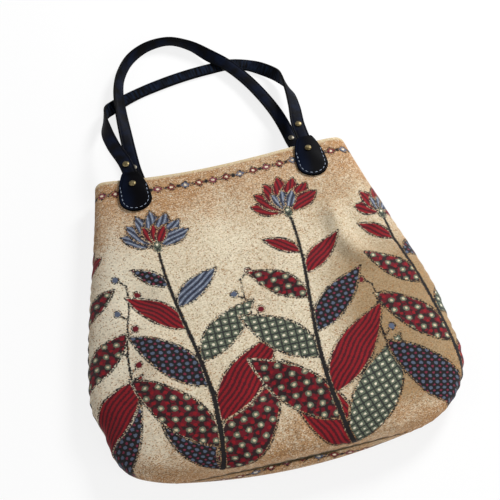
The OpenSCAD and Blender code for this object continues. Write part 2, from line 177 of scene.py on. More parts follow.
def side_z(p):
    return lerp(SIDE_Z, SEAM_END_Z, share_down(p) ** SEAM_RISE)


def folds_z(x, d, folds=FOLDS):
    """Height of soft folds at a place across and down from the rim."""
    total = 0
    for fx, fd, turn, length, width, height in folds:
        c, s = math.cos(math.radians(turn)), math.sin(math.radians(turn))
        u = (x - fx) * c + (fd - d) * s
        v = (fd - d) * c - (x - fx) * s
        total = total + height * np.exp(-(u / length) ** 2 - (v / width) ** 2)
    return total


def pushed(x, y):
    """Points across and up from the rim, moved by the pushes near them."""
    for centre_x, centre_y, reach, shift_x, shift_y in PUSHES:
        near = np.exp(-((x - centre_x) ** 2 + (y - centre_y) ** 2) / reach ** 2)
        x, y = x + shift_x * near, y + shift_y * near
    return x, y


def front(s, p):
    """Points of the front: s runs across from -1 to 1, p down from 0 and round the corners from 1 to 2."""
    x = s * half_width(p) + lean(p)
    low = share_down(p) ** SEAM_RISE
    y = -down(p) - rim_sag(s, p) - BOTTOM_BOW * (1 - s * s) * low
    crown = np.sin(QUARTER_TURN * np.clip(down(p) / CROWN_LEN, 0, 1))
    full = dome(s, lerp(RIM_ROUND, SIDE_ROUND, crown)) * dome(share_down(p), BOTTOM_ROUND)
    seam = side_z(p) + (BOTTOM_Z - side_z(p)) * (1 - s * s) * low + SEAT_GAP
    z = seam + full * (lerp(RIM_FRONT_Z, BODY_D, crown) - side_z(p) + folds_z(x, down(p)))
    return np.stack(np.broadcast_arrays(*pushed(x, y), z), -1)


def back(s, p):
    """Points of the back in the same terms: it lies flat and rolls up to the bottom seam."""
    a = corner_angle(p)
    roll = TUCK * np.clip((a - TUCK_FROM) / (QUARTER_TURN - TUCK_FROM), 0, 1)
    turn_y = TUCK_R * math.sin(TUCK) - BODY_H - BOTTOM_BOW
    lifted = BACK_LIFT * (1 - np.clip(down(p) / LIFT_LEN, 0, 1)) ** 2
    flat_y = lerp(-TAPER_LEN, turn_y, a / TUCK_FROM)
    mid_y = np.where(p < 1, -down(p), np.where(a < TUCK_FROM, flat_y, turn_y - TUCK_R * np.sin(roll)))
    mid_z = np.where(p < 1, lifted, np.where(a < TUCK_FROM, 0, TUCK_R * (1 - np.cos(roll))))
    rise = lerp(round_off(s, BACK_EDGE / half_width(p)), s * s, (a / QUARTER_TURN) ** CORNER_BLEND)
    x = s * half_width(p) + lean(p)
    y = lerp(mid_y, -down(p), s * s) - rim_sag(s, p)
    return np.stack(np.broadcast_arrays(*pushed(x, y), lerp(mid_z, side_z(p), rise)), -1)


PROBE = 0.01


def normal_of(face, s, p):
    """Direction out of the cloth, from nearby points of its face."""
    s, p = np.broadcast_arrays(np.asarray(s, float), np.asarray(p, float))
    across = face(s + PROBE, p) - face(s - PROBE, p)
    upward = face(s, p - PROBE) - face(s, np.minimum(2, p + PROBE))
    turned = np.cross(across, upward) if face is front else np.cross(upward, across)
    return unit(turned)


def inward_of(face, s, p):
    """Direction into the cloth: level along the seams, square to the face away from them."""
    near_side = 1 - ease((1 - np.abs(s)) * half_width(p) / SEAM_ZONE)
    near_bottom = ease(1 - (2 - p) / BOTTOM_ZONE)
    near = np.maximum(near_side, near_bottom)[..., None]
    a = corner_angle(p)
    level = unit(np.stack(np.broadcast_arrays(-s * np.abs(s) * np.cos(a), np.sin(a) + 0 * s, 0 * s), -1))
    return unit(lerp(-normal_of(face, s, p), level, near))


def place(points):
    """Points of the bag's own frame, in millimetres, as metres of the part's frame."""
    return (points + np.array([RIM_X, RIM_Y, 0])) * MM


# Meshes
def piece(name, points, faces, finish, smooth=True):
    """A mesh object from points in metres and lists of corner indices."""
    mesh = bpy.data.meshes.new(name)
    mesh.from_pydata(np.asarray(points).reshape(-1, 3).tolist(), [], faces)
    mesh.validate()
    mesh.materials.append(finish)
    if smooth:
        mesh.shade_smooth()
    made = bpy.data.objects.new(name, mesh)
    bpy.context.scene.collection.objects.link(made)
    return made


def face_outwards(made):
    """Turns the faces of a closed mesh outwards."""
    shape = bmesh.new()
    shape.from_mesh(made.data)
    bmesh.ops.recalc_face_normals(shape, faces=shape.faces)
    shape.to_mesh(made.data)
    shape.free()


def keep_vectors(made, name, values):
    """Stores a vector at each point of a mesh; the points past the end of values hold zeros."""
    full = np.zeros((len(made.data.vertices), 3), np.float32)
    full[:len(values)] = values
    made.data.attributes.new(name, "FLOAT_VECTOR", "POINT").data.foreach_set("vector", full.ravel())


def grid_faces(rows, cols, first=0):
    i, j = np.meshgrid(np.arange(rows - 1), np.arange(cols - 1), indexing="ij")
    a = (first + i * cols + j).ravel()
    return np.stack([a, a + 1, a + cols + 1, a + cols], -1).tolist()


def border(rows, cols, first=0):
    """The four edges of a grid of points: top, bottom, left, right."""
    index = first + np.arange(rows * cols).reshape(rows, cols)
    return index[0], index[-1], index[:, 0], index[:, -1]


def bridge(fine, coarse):
    """Faces between an edge and a coarser one that runs beside it."""
    step = (len(fine) - 1) // (len(coarse) - 1)
    faces = []
    for k in range(len(coarse) - 1):
        a, b = int(coarse[k]), int(coarse[k + 1])
        run = [int(v) for v in fine[step * k:step * (k + 1) + 1]]
        half = step // 2
        faces += [[run[m], run[m + 1], a] for m in range(half)]
        faces.append([run[half], b, a])
        faces += [[run[m], run[m + 1], b] for m in range(half, step)]
    return faces


def wall(upper, lower):
    """Faces between two edges with the same number of points."""
    return np.stack([upper[:-1], upper[1:], lower[1:], lower[:-1]], -1).tolist()


def shell(name, outer, inner, finish):
    """A closed sheet of cloth between a fine outer grid and a coarser inner one."""
    (rows, cols), (low_rows, low_cols) = outer.shape[:2], inner.shape[:2]
    first = rows * cols
    faces = grid_faces(rows, cols) + grid_faces(low_rows, low_cols, first)
    for fine, coarse in zip(border(rows, cols), border(low_rows, low_cols, first)):
        faces += bridge(fine, coarse)
    points = np.concatenate([outer.reshape(-1, 3), inner.reshape(-1, 3)])
    made = piece(name, place(points), faces, finish)
    face_outwards(made)
    return made


# Nodes of materials, of the world and of Geometry Nodes trees
def feed(tree, socket, value):
    """Links a socket to another one, or sets its value."""
    if isinstance(value, bpy.types.NodeSocket):
        tree.links.new(value, socket)
    else:
        socket.default_value = value


def add_node(tree, kind, settings=None, sockets=None):
    """A node of a tree: its settings first, then the values or links of its sockets."""
    made = tree.nodes.new(kind)
    for key, value in (settings or {}).items():
        setattr(made, key, value)
    for key, value in (sockets or {}).items():
        feed(tree, made.inputs[key], value)
    return made


class Value:
    """A socket of a finish; sums on it add Math nodes."""

    def __init__(self, finish, socket):
        self.finish, self.socket = finish, socket

    def math(self, operation, *terms):
        return self.finish.node("ShaderNodeMath", {"operation": operation}, dict(enumerate(terms)))

    def __add__(self, other):
        return self.math("ADD", self, other)

    def __radd__(self, other):
        return self.math("ADD", other, self)

    def __sub__(self, other):
        return self.math("SUBTRACT", self, other)

    def __rsub__(self, other):
        return self.math("SUBTRACT", other, self)

    def __mul__(self, other):
        return self.math("MULTIPLY", self, other)

    def __rmul__(self, other):
        return self.math("MULTIPLY", other, self)

    def __truediv__(self, other):
        return self.math("DIVIDE", self, other)

    def __rtruediv__(self, other):
        return self.math("DIVIDE", other, self)

    def __abs__(self):
        return self.math("ABSOLUTE", self)

    def sine(self):
        return self.math("SINE", self)

    def part(self):
        return self.math("FRACT", self)

    def root(self):
        return self.math("SQRT", self)

    def most(self, other):
        return self.math("MAXIMUM", self, other)

    def below(self, other):
        return self.math("LESS_THAN", self, other)

    def ramp(self, low, high):
        """0 at low, 1 at high, smooth between."""
        return self.finish.node(
            "ShaderNodeMapRange", {"interpolation_type": "SMOOTHSTEP"},
            {"Value": self, "From Min": low, "From Max": high})


class Finish:
    """A procedural material with one Principled shader, whose uniform values go on its own sockets."""

    def __init__(self, name, uniform):
        self.material = bpy.data.materials.new(name)
        self.material.use_nodes = True
        self.tree = self.material.node_tree
        self.shader = self.tree.nodes["Principled BSDF"]
        for socket, value in uniform.items():
            self.shader.inputs[socket].default_value = value

    def node(self, kind, settings=None, sockets=None, out=0):
        """One output of a new node, whose sockets take plain numbers, colours or other outputs."""
        given = {key: value.socket if isinstance(value, Value) else value
                 for key, value in (sockets or {}).items()}
        return Value(self, add_node(self.tree, kind, settings, given).outputs[out])

    def mix(self, share, first, second, blend="MIX"):
        """Two colours mixed, by the colour sockets of a Mix node."""
        settings = {"data_type": "RGBA", "blend_type": blend}
        return self.node("ShaderNodeMix", settings, {0: share, 6: first, 7: second}, out=2)

    def parts(self, vector):
        """The three numbers of a vector."""
        return [self.node("ShaderNodeSeparateXYZ", None, {0: vector}, out=axis) for axis in "XYZ"]

    def stored(self, name):
        """The three numbers of a vector stored at the points of a mesh."""
        return self.parts(self.node("ShaderNodeAttribute", {"attribute_name": name}, out="Vector"))

    def join(self, x, y, z=0.0):
        return self.node("ShaderNodeCombineXYZ", None, {0: x, 1: y, 2: z})

    def noise(self, where, scale, detail=2.0, roughness=0.5):
        return self.node("ShaderNodeTexNoise", None, {
            "Vector": where, "Scale": scale, "Detail": detail, "Roughness": roughness})

    def here(self):
        return self.node("ShaderNodeTexCoord", out="Object")

    def set(self, socket, value):
        feed(self.tree, self.shader.inputs[socket], value.socket)

    def bump(self, height, strength, distance):
        self.set("Normal", self.node("ShaderNodeBump", None, {
            "Strength": strength, "Distance": distance, "Height": height}))


def rgb(red, green, blue):
    """A colour in linear light from its 0 to 255 values."""
    def linear(c):
        c /= 255
        return c / 12.92 if c <= 0.04045 else ((c + 0.055) / 1.055) ** 2.4
    return (linear(red), linear(green), linear(blue), 1.0)


# Yarns of the tapestry cloth
LIGHT_YARN, CREAM_YARN, TAN_YARN = rgb(222, 212, 190), rgb(206, 189, 156), rgb(182, 139, 92)
# The olive colour here is painted shade along the bottom seam
BROWN_YARN, SPECK_YARN, SEAM_SHADE = rgb(146, 102, 62), rgb(108, 82, 54), rgb(52, 44, 20)
BLACK_YARN, CRIMSON_YARN, RED_YARN = rgb(20, 16, 17), rgb(100, 14, 28), rgb(132, 16, 27)
SLATE_YARN, SAGE_YARN, MAUVE_YARN = rgb(84, 94, 114), rgb(98, 106, 88), rgb(116, 40, 62)
SOOT_YARN, MOSS_YARN, WINE_YARN = rgb(36, 18, 20), rgb(44, 46, 44), rgb(70, 8, 20)
INK_YARN, SILVER_YARN = rgb(38, 40, 54), rgb(150, 156, 168)
# The umber colour here is partly the cloth's browner ground and partly painted shade
HEM_HIGHLIGHT, UMBER_AND_SHADE = rgb(214, 198, 148), rgb(137, 107, 66)

# Weave in millimetres: cell of a yarn, raggedness of woven edges, softness of shapes, dots and lines
YARN_U, YARN_V, YARN_RAGGED, FINE_RAGGED = 1.3, 1.05, 1.5, 0.6
SHAPE_EDGE, DOT_EDGE, LINE_EDGE = 0.5, 0.4, 0.35
TINT_SHIFT = (37, 11, 5)

# Threads: shade, roughness and their ranges; relief of weft, warp and single yarns, its bump in metres
SHADE_FROM, SHADE_RANGE, CLOTH_ROUGH, CLOTH_ROUGH_RANGE = 0.86, 0.26, 0.8, 0.14
WEFT_H, WARP_H, YARN_H, WEAVE_BUMP, WEAVE_DEPTH = 0.6, 0.25, 0.7, 0.4, 0.0005

# Wear of the ground by noise: scale per millimetre, roughness, strength
BROAD_WEAR, PATCH_WEAR = (0.009, 0.55, 1.1), (0.05, 0.6, 0.6)
TONE_DETAIL, EVEN_WEAR, MOST_WEAR = 3.0, 0.16, 0.92

# Zones of the ground in millimetres: from, to and, where it has one, strength
RIM_BROWN, BOTTOM_BROWN, SIDE_BROWN = (10, 130, 0.62), (10, 110, 0.6), (0, 50, 0.2)
# The umber zone low on the right is partly the cloth's browner ground and partly painted shade
UMBER_SHADE_UPPER, UMBER_SHADE_LOWER = (40, 80, 0.3), (130, 200, 0.54)
UMBER_SHADE_SIDE, UMBER_SHADE_END, LEFT_PALE = (45, 110), (345, 380), (-170, -60)
# Painted shade along the bottom seam, and a painted highlight along the hem's fold
SEAM_SHADE_LINE, HEM_HIGHLIGHT_BAND = (1.2, 3.4, 0.9), (1.0, 5.5, 0.6)

# Specks of single yarns: share of the cells, share that wear adds, strength
TAN_SPECKS, BROWN_SPECKS = (0.06, 0.42, 0.55), (0.025, 0.16, 0.8)
DARK_SPECKS, LIGHT_SPECKS = (0.03, 0.1, 0.75), (0.24, -0.12, 0.52)

# Patterns in the leaves: pitches, radii of dots and widths of lines in millimetres
FLORAL_PITCH, PETAL_DOT, EYE_DOT, BUD_DOT = 13.0, 3.4, 1.5, 2.0
DOT_PITCH, LARGE_DOT, SMALL_DOT = 8.0, 2.0, 1.3
LATTICE_PITCH, LATTICE_LINE, LATTICE_DOT = 8.5, 2.0, 1.4
STRIPE_PITCH, STRIPE_LINE, BAND_PITCH, BAND_LINE, BAND_THREAD = 5.2, 2.5, 5.6, 1.9, 0.9
WAVE_H, WAVE_TURN, FLECK_SCALE, FLECK_EDGE = 1.2, 0.12, 0.16, (0.44, 0.54)
DIAGONAL = math.sqrt(0.5)

# Woven shapes, in the order in which their fields are stored, three to a set
PRINT_FIELDS = ("black", "floral", "dotted", "lattice", "striped", "banded", "cream", "berry", "slate")
PRINT_SETS = ("print_a", "print_b", "print_c")


class Weave(Finish):
    """Finish of a tapestry cloth: each cell of the weave has random numbers of its own."""

    def __init__(self, name, uniform):
        super().__init__(name, uniform)
        self.u, self.v, _ = self.stored("cloth_at")
        spot = self.join(self.u / YARN_U, self.v / YARN_V)
        yarn = self.node("ShaderNodeVectorMath", {"operation": "FLOOR"}, {0: spot})
        other = self.node("ShaderNodeVectorMath", {"operation": "ADD"}, {0: yarn, 1: TINT_SHIFT})
        self.chance, self.tint = self.random(yarn), self.random(other)
        self.ragged = (self.chance - 0.5) * YARN_RAGGED

    def random(self, where):
        return self.node("ShaderNodeTexWhiteNoise", {"noise_dimensions": "3D"}, {"Vector": where})

    def shows(self, field):
        """Where a woven shape covers the cloth."""
        return (field + self.ragged).ramp(-SHAPE_EDGE, SHAPE_EDGE)

    def dots(self, ways, pitch, radius):
        across, along = [(way / pitch).part() - 0.5 for way in ways]
        reach = (across * across + along * along).root() * pitch
        return (radius - reach + FINE_RAGGED * self.ragged).ramp(-DOT_EDGE, DOT_EDGE)

    def lines(self, way, pitch, width):
        off = abs((way / pitch).part() - 0.5) * pitch
        return (width / 2 - off + FINE_RAGGED * self.ragged).ramp(-LINE_EDGE, LINE_EDGE)


def near(away, low, high, strength):
    """Full strength at an edge, fading out away from it."""
    return (1 - away.ramp(low, high)) * strength


def sandy_ground(cloth, rim, side, bottom):
    """Mixed yarns: pale in the middle, browner at the rim and the bottom; low on the right an umber zone
    that is partly the cloth's browner ground and partly painted shade.
    """
    u, v, chance, tint = cloth.u, cloth.v, cloth.chance, cloth.tint

    def wear(scale, roughness, strength):
        return strength * (cloth.noise(cloth.join(u, v), scale, TONE_DETAIL, roughness) - 0.5)

    def past(low, high, strength):
        return strength * v.ramp(low, high)

    def specks(draw, share, more, strength):
        return draw.below(share + more * worn) * strength

    edge = near(rim, *RIM_BROWN) + near(bottom, *BOTTOM_BROWN) + near(side, *SIDE_BROWN)
    worn = (wear(*BROAD_WEAR) + wear(*PATCH_WEAR) + edge + EVEN_WEAR).ramp(0.0, 1.0)
    # Umber zone low on the right: partly the cloth's browner ground, partly painted shade
    right = u.ramp(*UMBER_SHADE_SIDE) * (past(*UMBER_SHADE_UPPER) + past(*UMBER_SHADE_LOWER)) * (1 - v.ramp(*UMBER_SHADE_END))
    pale = cloth.mix(tint.most(1 - u.ramp(*LEFT_PALE)), CREAM_YARN, LIGHT_YARN)
    ground = cloth.mix(worn * MOST_WEAR, pale, cloth.mix(tint, BROWN_YARN, TAN_YARN))
    ground = cloth.mix(right, ground, UMBER_AND_SHADE)
    ground = cloth.mix(specks(chance, *TAN_SPECKS), ground, TAN_YARN)
    ground = cloth.mix(specks(chance, *BROWN_SPECKS), ground, BROWN_YARN)
    ground = cloth.mix(specks(1 - tint, *DARK_SPECKS), ground, SPECK_YARN)
    return cloth.mix(specks(1 - chance, *LIGHT_SPECKS) * (1 - right), ground, LIGHT_YARN)


def between(ways, pitch):
    """The same ways, half a pitch on."""
    return [way + pitch / 2 for way in ways]


def leaf_fillings(cloth):
    """Colours of the woven shapes, in the order in which they are laid on the ground."""
    along, across, _ = cloth.stored("leaf_at")
    slants = (along + across) * DIAGONAL, (along - across) * DIAGONAL
    wavy = across + WAVE_H * (along * WAVE_TURN).sine()
    flecks = cloth.noise(cloth.join(along, across), FLECK_SCALE, 1.0)

    floral = cloth.mix(flecks.ramp(*FLECK_EDGE), CRIMSON_YARN, SOOT_YARN)
    floral = cloth.mix(cloth.dots(slants, FLORAL_PITCH, PETAL_DOT), floral, SAGE_YARN)
    floral = cloth.mix(cloth.dots(slants, FLORAL_PITCH, EYE_DOT), floral, CREAM_YARN)
    floral = cloth.mix(cloth.dots(between(slants, FLORAL_PITCH), FLORAL_PITCH, BUD_DOT), floral, RED_YARN)
    dotted = cloth.mix(cloth.dots(slants, DOT_PITCH, LARGE_DOT), BLACK_YARN, SLATE_YARN)
    dotted = cloth.mix(cloth.dots(between(slants, DOT_PITCH), DOT_PITCH, SMALL_DOT), dotted, MAUVE_YARN)
    lattice = SAGE_YARN
    for slant in slants:
        lattice = cloth.mix(cloth.lines(slant, LATTICE_PITCH, LATTICE_LINE), lattice, MOSS_YARN)
    knots = cloth.dots(between(slants, LATTICE_PITCH), LATTICE_PITCH, LATTICE_DOT)
    lattice = cloth.mix(knots, lattice, LIGHT_YARN)
    striped = cloth.mix(cloth.lines(wavy, STRIPE_PITCH, STRIPE_LINE), RED_YARN, WINE_YARN)
    banded = cloth.mix(cloth.lines(wavy, BAND_PITCH, BAND_LINE), SLATE_YARN, INK_YARN)
    banded = cloth.mix(cloth.lines(wavy + BAND_PITCH / 2, BAND_PITCH, BAND_THREAD), banded, SILVER_YARN)
    return {"floral": floral, "dotted": dotted, "lattice": lattice, "striped": striped, "banded": banded,
            "berry": CRIMSON_YARN, "slate": SLATE_YARN, "cream": LIGHT_YARN, "black": BLACK_YARN}


def tapestry_finish():
    """Woven cloth: a sandy ground of mixed yarns with the woven plants on it."""
    cloth = Weave("woven_tapestry", {
        "Specular IOR Level": 0.18, "Sheen Weight": 0.12, "Sheen Roughness": 0.5})
    rim, side, bottom = cloth.stored("edges")
    colour = sandy_ground(cloth, rim, side, bottom)
    fields = dict(zip(PRINT_FIELDS, [field for name in PRINT_SETS for field in cloth.stored(name)]))
    for name, filling in leaf_fillings(cloth).items():
        colour = cloth.mix(cloth.shows(fields[name]), colour, filling)

    # Thread shading, painted shade as a dark line along the bottom seam and a painted highlight along the
    # fold of the hem
    shade = SHADE_FROM + SHADE_RANGE * cloth.tint
    colour = cloth.mix(1.0, colour, cloth.join(shade, shade, shade), "MULTIPLY")
    colour = cloth.mix(near(bottom, *SEAM_SHADE_LINE), colour, SEAM_SHADE)
    colour = cloth.mix(near(rim, *HEM_HIGHLIGHT_BAND), colour, cloth.mix(cloth.tint, HEM_HIGHLIGHT, LIGHT_YARN))
    cloth.set("Base Color", colour)
    cloth.set("Roughness", CLOTH_ROUGH + CLOTH_ROUGH_RANGE * cloth.tint)
    weft, warp = abs((cloth.v * (math.pi / YARN_V)).sine()), abs((cloth.u * (math.pi / YARN_U)).sine())
    cloth.bump(weft * WEFT_H + warp * WARP_H + YARN_H * cloth.chance, WEAVE_BUMP, WEAVE_DEPTH)
    return cloth.material


LINING_BROWN, LINING_SAND, LINING_SHADE = rgb(112, 96, 72), rgb(140, 122, 94), rgb(84, 70, 52)

# Waves of the lining's threads and scale of its tone, to the metre; share of the shade between threads
LINING_WEAVE, LINING_TONE, LINING_SHADE_SHARE = 9000.0, 18.0, 0.3
LINING_ROUGH, LINING_ROUGH_RANGE, LINING_BUMP, LINING_DEPTH = 0.72, 0.16, 0.3, 0.0002


def lining_finish():
    """Plain woven lining."""
    cloth = Finish("lining_cloth", {"Specular IOR Level": 0.2, "Sheen Weight": 0.1})
    here = cloth.here()
    x, y, _ = cloth.parts(here)
    threads = (x * LINING_WEAVE).sine() * (y * LINING_WEAVE).sine()
    tone = cloth.noise(here, LINING_TONE, TONE_DETAIL)
    colour = cloth.mix(tone, LINING_BROWN, LINING_SAND)
    cloth.set("Base Color", cloth.mix(threads.ramp(-1, 1) * LINING_SHADE_SHARE, colour, LINING_SHADE))
    cloth.set("Roughness", LINING_ROUGH + LINING_ROUGH_RANGE * tone)
    cloth.bump(threads, LINING_BUMP, LINING_DEPTH)
    return cloth.material


LEATHER, LEATHER_NAVY_SHEEN = rgb(7, 7, 9), rgb(13, 19, 34)
INNER_SHEEN, LEATHER_EDGE = rgb(21, 30, 45), rgb(3, 3, 4)

# Zones of the leather in millimetres, from its edges; the tab's sheen is measured across it
STRAP_BORDER, STRAP_PAINT, TAB_PAINT, TAB_LINE = (3.2, 2.2), (0.9, 0.3), (0.4, 1.6), (0.4, 1.2)
TAB_SHEEN = (-18, 8)
# Creases of the inner face, with painted shade in them and a painted sheen between them; then the spread of
# the painted navy sheen
CREASE_ALONG, CREASE_ACROSS, CREASE_EDGE, CREASE_SHEEN = 0.32, 0.03, (0.40, 0.52), (0.42, 0.68)
CREASE_SHADE, STRAP_LINE, TAB_PRESS, CREASE_DEEP = 0.8, 0.55, 0.5, 1.2
NAVY_SHEEN_TONE, NAVY_SHEEN, SHEEN_SHARE = (0.35, 0.7), (0.2, 0.9), 0.7

# Grain of the leather: scales to the metre of its pebbles, of finer grain and of its tone; heights
PEBBLE_SCALE, GRAIN_SCALE, STRAP_TONE, TAB_TONE = 1250.0, 420.0, 55.0, 60.0
PEBBLE_H, GRAIN_H, STRAP_GRAIN = 0.7, 0.6, 0.5


def leather_grain(leather, here):
    """Height of the leather's fine grain."""
    pebbles = leather.node("ShaderNodeTexVoronoi", {"feature": "F1"}, {
        "Vector": here, "Scale": PEBBLE_SCALE, "Randomness": 1.0})
    return pebbles * PEBBLE_H + leather.noise(here, GRAIN_SCALE, TONE_DETAIL) * GRAIN_H


def strap_finish():
    """Black strap leather: painted edges, pressed border lines, creases on the inner face; a painted navy
    sheen, painted shade in the creases and a painted sheen between them.
    """
    leather = Finish("strap_leather", {"Specular IOR Level": 0.03})
    along, across, inner = leather.stored("strap_at")
    here = leather.here()
    tone = leather.noise(here, STRAP_TONE, TONE_DETAIL)
    border, edge = [abs(across).ramp(STRAP_W / 2 - low, STRAP_W / 2 - high)
                    for low, high in (STRAP_BORDER, STRAP_PAINT)]
    wave = leather.noise(leather.join(along * CREASE_ALONG, across * CREASE_ACROSS), 1.0, 2.0)
    creases = inner * (1 - border) * (1 - wave.ramp(*CREASE_EDGE))
    # Painted navy sheen by tone, a painted sheen between the inner face's creases, painted shade in the
    # creases
    colour = leather.mix(tone.ramp(*NAVY_SHEEN_TONE), LEATHER, LEATHER_NAVY_SHEEN)
    colour = leather.mix(inner * wave.ramp(*CREASE_SHEEN), colour, INNER_SHEEN)
    for share in (creases * CREASE_SHADE, border * STRAP_LINE, edge):
        colour = leather.mix(share, colour, LEATHER_EDGE)
    leather.set("Base Color", colour)
    leather.set("Roughness", 0.42 + 0.16 * tone + 0.12 * creases - 0.08 * edge)
    leather.bump(leather_grain(leather, here) * STRAP_GRAIN - creases * CREASE_DEEP, 0.35, 0.0004)
    return leather.material


def tab_finish():
    """Black tab leather: smoother rounded edge, a navy sheen, a pressed stitch line."""
    leather = Finish("tab_leather", {"Specular IOR Level": 0.015})
    across, _, edge = leather.stored("tab_at")
    here = leather.here()
    tone = leather.noise(here, TAB_TONE, TONE_DETAIL)
    sheen = (1 - across.ramp(*TAB_SHEEN)) * SHEEN_SHARE + (1 - SHEEN_SHARE) * tone
    rounded = 1 - edge.ramp(*TAB_PAINT)
    pressed = 1 - abs(edge - STITCH_IN).ramp(*TAB_LINE)
    colour = leather.mix(sheen.ramp(*NAVY_SHEEN), LEATHER, LEATHER_NAVY_SHEEN)
    for share in (rounded, pressed * TAB_PRESS):
        colour = leather.mix(share, colour, LEATHER_EDGE)
    leather.set("Base Color", colour)
    leather.set("Roughness", 0.36 + 0.2 * tone - 0.06 * rounded)
    leather.bump(leather_grain(leather, here), 0.3, 0.0003)
    return leather.material


THREAD_SLATE, THREAD_PALE = rgb(116, 128, 148), rgb(164, 175, 190)
BRASS_DARK, BRASS_LIGHT = rgb(70, 61, 40), rgb(112, 101, 74)
BACK_DARK, BACK_LIGHT = rgb(66, 62, 54), rgb(104, 99, 88)
THREAD_TONE, BRASS_TONE, BRASS_EDGE = 300.0, 260.0, (0.35, 0.7)


def thread_finish():
    """Slate thread of the stitches."""
    thread = Finish("stitch_thread", {})
    tone = thread.noise(thread.here(), THREAD_TONE)
    thread.set("Base Color", thread.mix(tone, THREAD_SLATE, THREAD_PALE))
    thread.set("Roughness", 0.5 + 0.25 * tone)
    return thread.material


def rivet_finish():
    """Antique brass caps, greyer backs."""
    brass = Finish("antique_brass", {"Metallic": 1.0})
    is_back, _, _ = brass.stored("rivet_at")
    tone = brass.noise(brass.here(), BRASS_TONE, 4.0, 0.6)
    colour = brass.mix(tone.ramp(*BRASS_EDGE), BRASS_DARK, BRASS_LIGHT)
    brass.set("Base Color", brass.mix(is_back, colour, brass.mix(tone, BACK_DARK, BACK_LIGHT)))
    brass.set("Roughness", 0.3 + 0.24 * tone)
    return brass.material


# The design woven into the cloth
FAR, LEAF_FULLNESS, LEAF_SLOPE, STEM_WAVE = -60.0, 0.85, 0.9, 1.6


class Design:
    """Signed distances to the woven shapes at the points of a cloth, painted one over another."""

    def __init__(self, u, v):
        self.u, self.v = u, v
        self.field = {name: np.full(u.shape, FAR) for name in PRINT_FIELDS}
        self.leaf_a, self.leaf_b = np.zeros(u.shape), np.zeros(u.shape)

    def paint(self, name, inside):
        for other, field in self.field.items():
            if other == name:
                np.maximum(field, inside, out=field)
            else:
                np.minimum(field, -inside, out=field)

    def stroke(self, name, points, start_w, end_w):
        """A tapering line along a row of points."""
        points = np.asarray(points, float)
        best = np.full(self.u.shape, FAR)
        for k in range(len(points) - 1):
            a, b = points[k], points[k + 1]
            d = b - a
            t = np.clip(((self.u - a[0]) * d[0] + (self.v - a[1]) * d[1]) / (d @ d), 0, 1)
            away = np.hypot(self.u - a[0] - t * d[0], self.v - a[1] - t * d[1])
            width = lerp(start_w, end_w, (k + t) / (len(points) - 1))
            best = np.maximum(best, width / 2 - away)
        self.paint(name, best)

    def leaf(self, name, root, turn, length, width, bend=0.0, outline=1.7, blunt=0.85):
        """A pointed leaf from its root, turned from straight up, with a dark outline."""
        c, s = math.cos(math.radians(turn)), math.sin(math.radians(turn))
        du, dv = self.u - root[0], self.v - root[1]
        along, across = du * s - dv * c, du * c + dv * s
        t = np.clip(along / length, 0, 1)
        across = across - bend * t * t
        half = width / 2 * np.sin(np.pi * t ** blunt) ** LEAF_FULLNESS
        beyond = np.maximum(np.maximum(-along, along - length), 0)
        inside = (half - np.abs(across)) * LEAF_SLOPE - beyond
        near = inside > 0
        self.leaf_a[near], self.leaf_b[near] = along[near], across[near]
        self.paint("black", inside)
        self.paint(name, inside - outline)

    def dot(self, name, centre, radius, outline=0.0):
        inside = radius - np.hypot(self.u - centre[0], self.v - centre[1])
        if outline:
            self.paint("black", inside)
        self.paint(name, inside - outline)

    def lozenge(self, name, centre, half_u, half_v, outline=1.3):
        inside = (1 - np.abs(self.u - centre[0]) / half_u - np.abs(self.v - centre[1]) / half_v)
        inside = inside * half_u * half_v / math.hypot(half_u, half_v)
        self.paint("black", inside)
        self.paint(name, inside - outline)


def stem_line(foot, top, sway, steps=22):
    t = np.linspace(0, 1, steps)
    u = lerp(foot[0], top[0], t) + sway * np.sin(np.pi * STEM_WAVE * t)
    return np.stack([u, lerp(foot[1], top[1], t)], -1)


# Plants in millimetres and degrees: stem widths, bends, fan of the petals, inner petals, cup of the blossom
STEM_W, LEAF_BEND, PETAL_BEND, PETAL_BLUNT = (6.0, 3.4), 0.0032, 0.03, 1.1
PETAL_FAN, PETAL_FADE, INNER_TURNS, INNER_SHARE, INNER_OUTLINE = 124, 400, (-24, 0, 24), 0.62, 1.4
CUP_DROP, CUP_LENGTH, CUP_W, CUP_OUTLINE = 9, 19, 13, 1.6

# Berry sprays: points of the stem, widths, where the berries begin, twigs and berries
SPRAY_STEPS, SPRAY_W, SPRAY_FROM = 14, (2.8, 2.0), 0.25
TWIG_U, TWIG_V, TWIG_W, BERRY_R, BERRY_OUTLINE = 11, 9, (2.0, 1.8), 5.0, 1.2

# Straight rows: levels on the front and back, half length, pitch, lozenges and the dots between them
ROW_HIGH, ROW_LOW, ROW_HALF, ROW_PITCH = 20, 403, 204, 17
ROW_LOZENGE, ROW_EYE, ROW_DOT = (8.4, 7.0), 1.7, 2.7
ROW_FILLS = ("berry", "slate", "berry", "dotted")
ROW_DOTS = (("black", 0), ("slate", 1.1))


def blossom(design, head, petals, length, width, fill_out, fill_in):
    """Outer petals in a fan, inner petals over them and a cup below."""
    for k in range(petals):
        turn = (k - (petals - 1) / 2) * PETAL_FAN / (petals - 1)
        reach = length * (1 - abs(turn) / PETAL_FADE)
        design.leaf(fill_out, head, turn, reach, width, bend=turn * PETAL_BEND, blunt=PETAL_BLUNT)
    reach, width = length * INNER_SHARE, width * INNER_SHARE
    for turn in INNER_TURNS:
        design.leaf(fill_in, head, turn, reach, width, outline=INNER_OUTLINE, blunt=PETAL_BLUNT)
    design.leaf("lattice", (head[0], head[1] + CUP_DROP), 0, CUP_LENGTH, CUP_W, outline=CUP_OUTLINE)


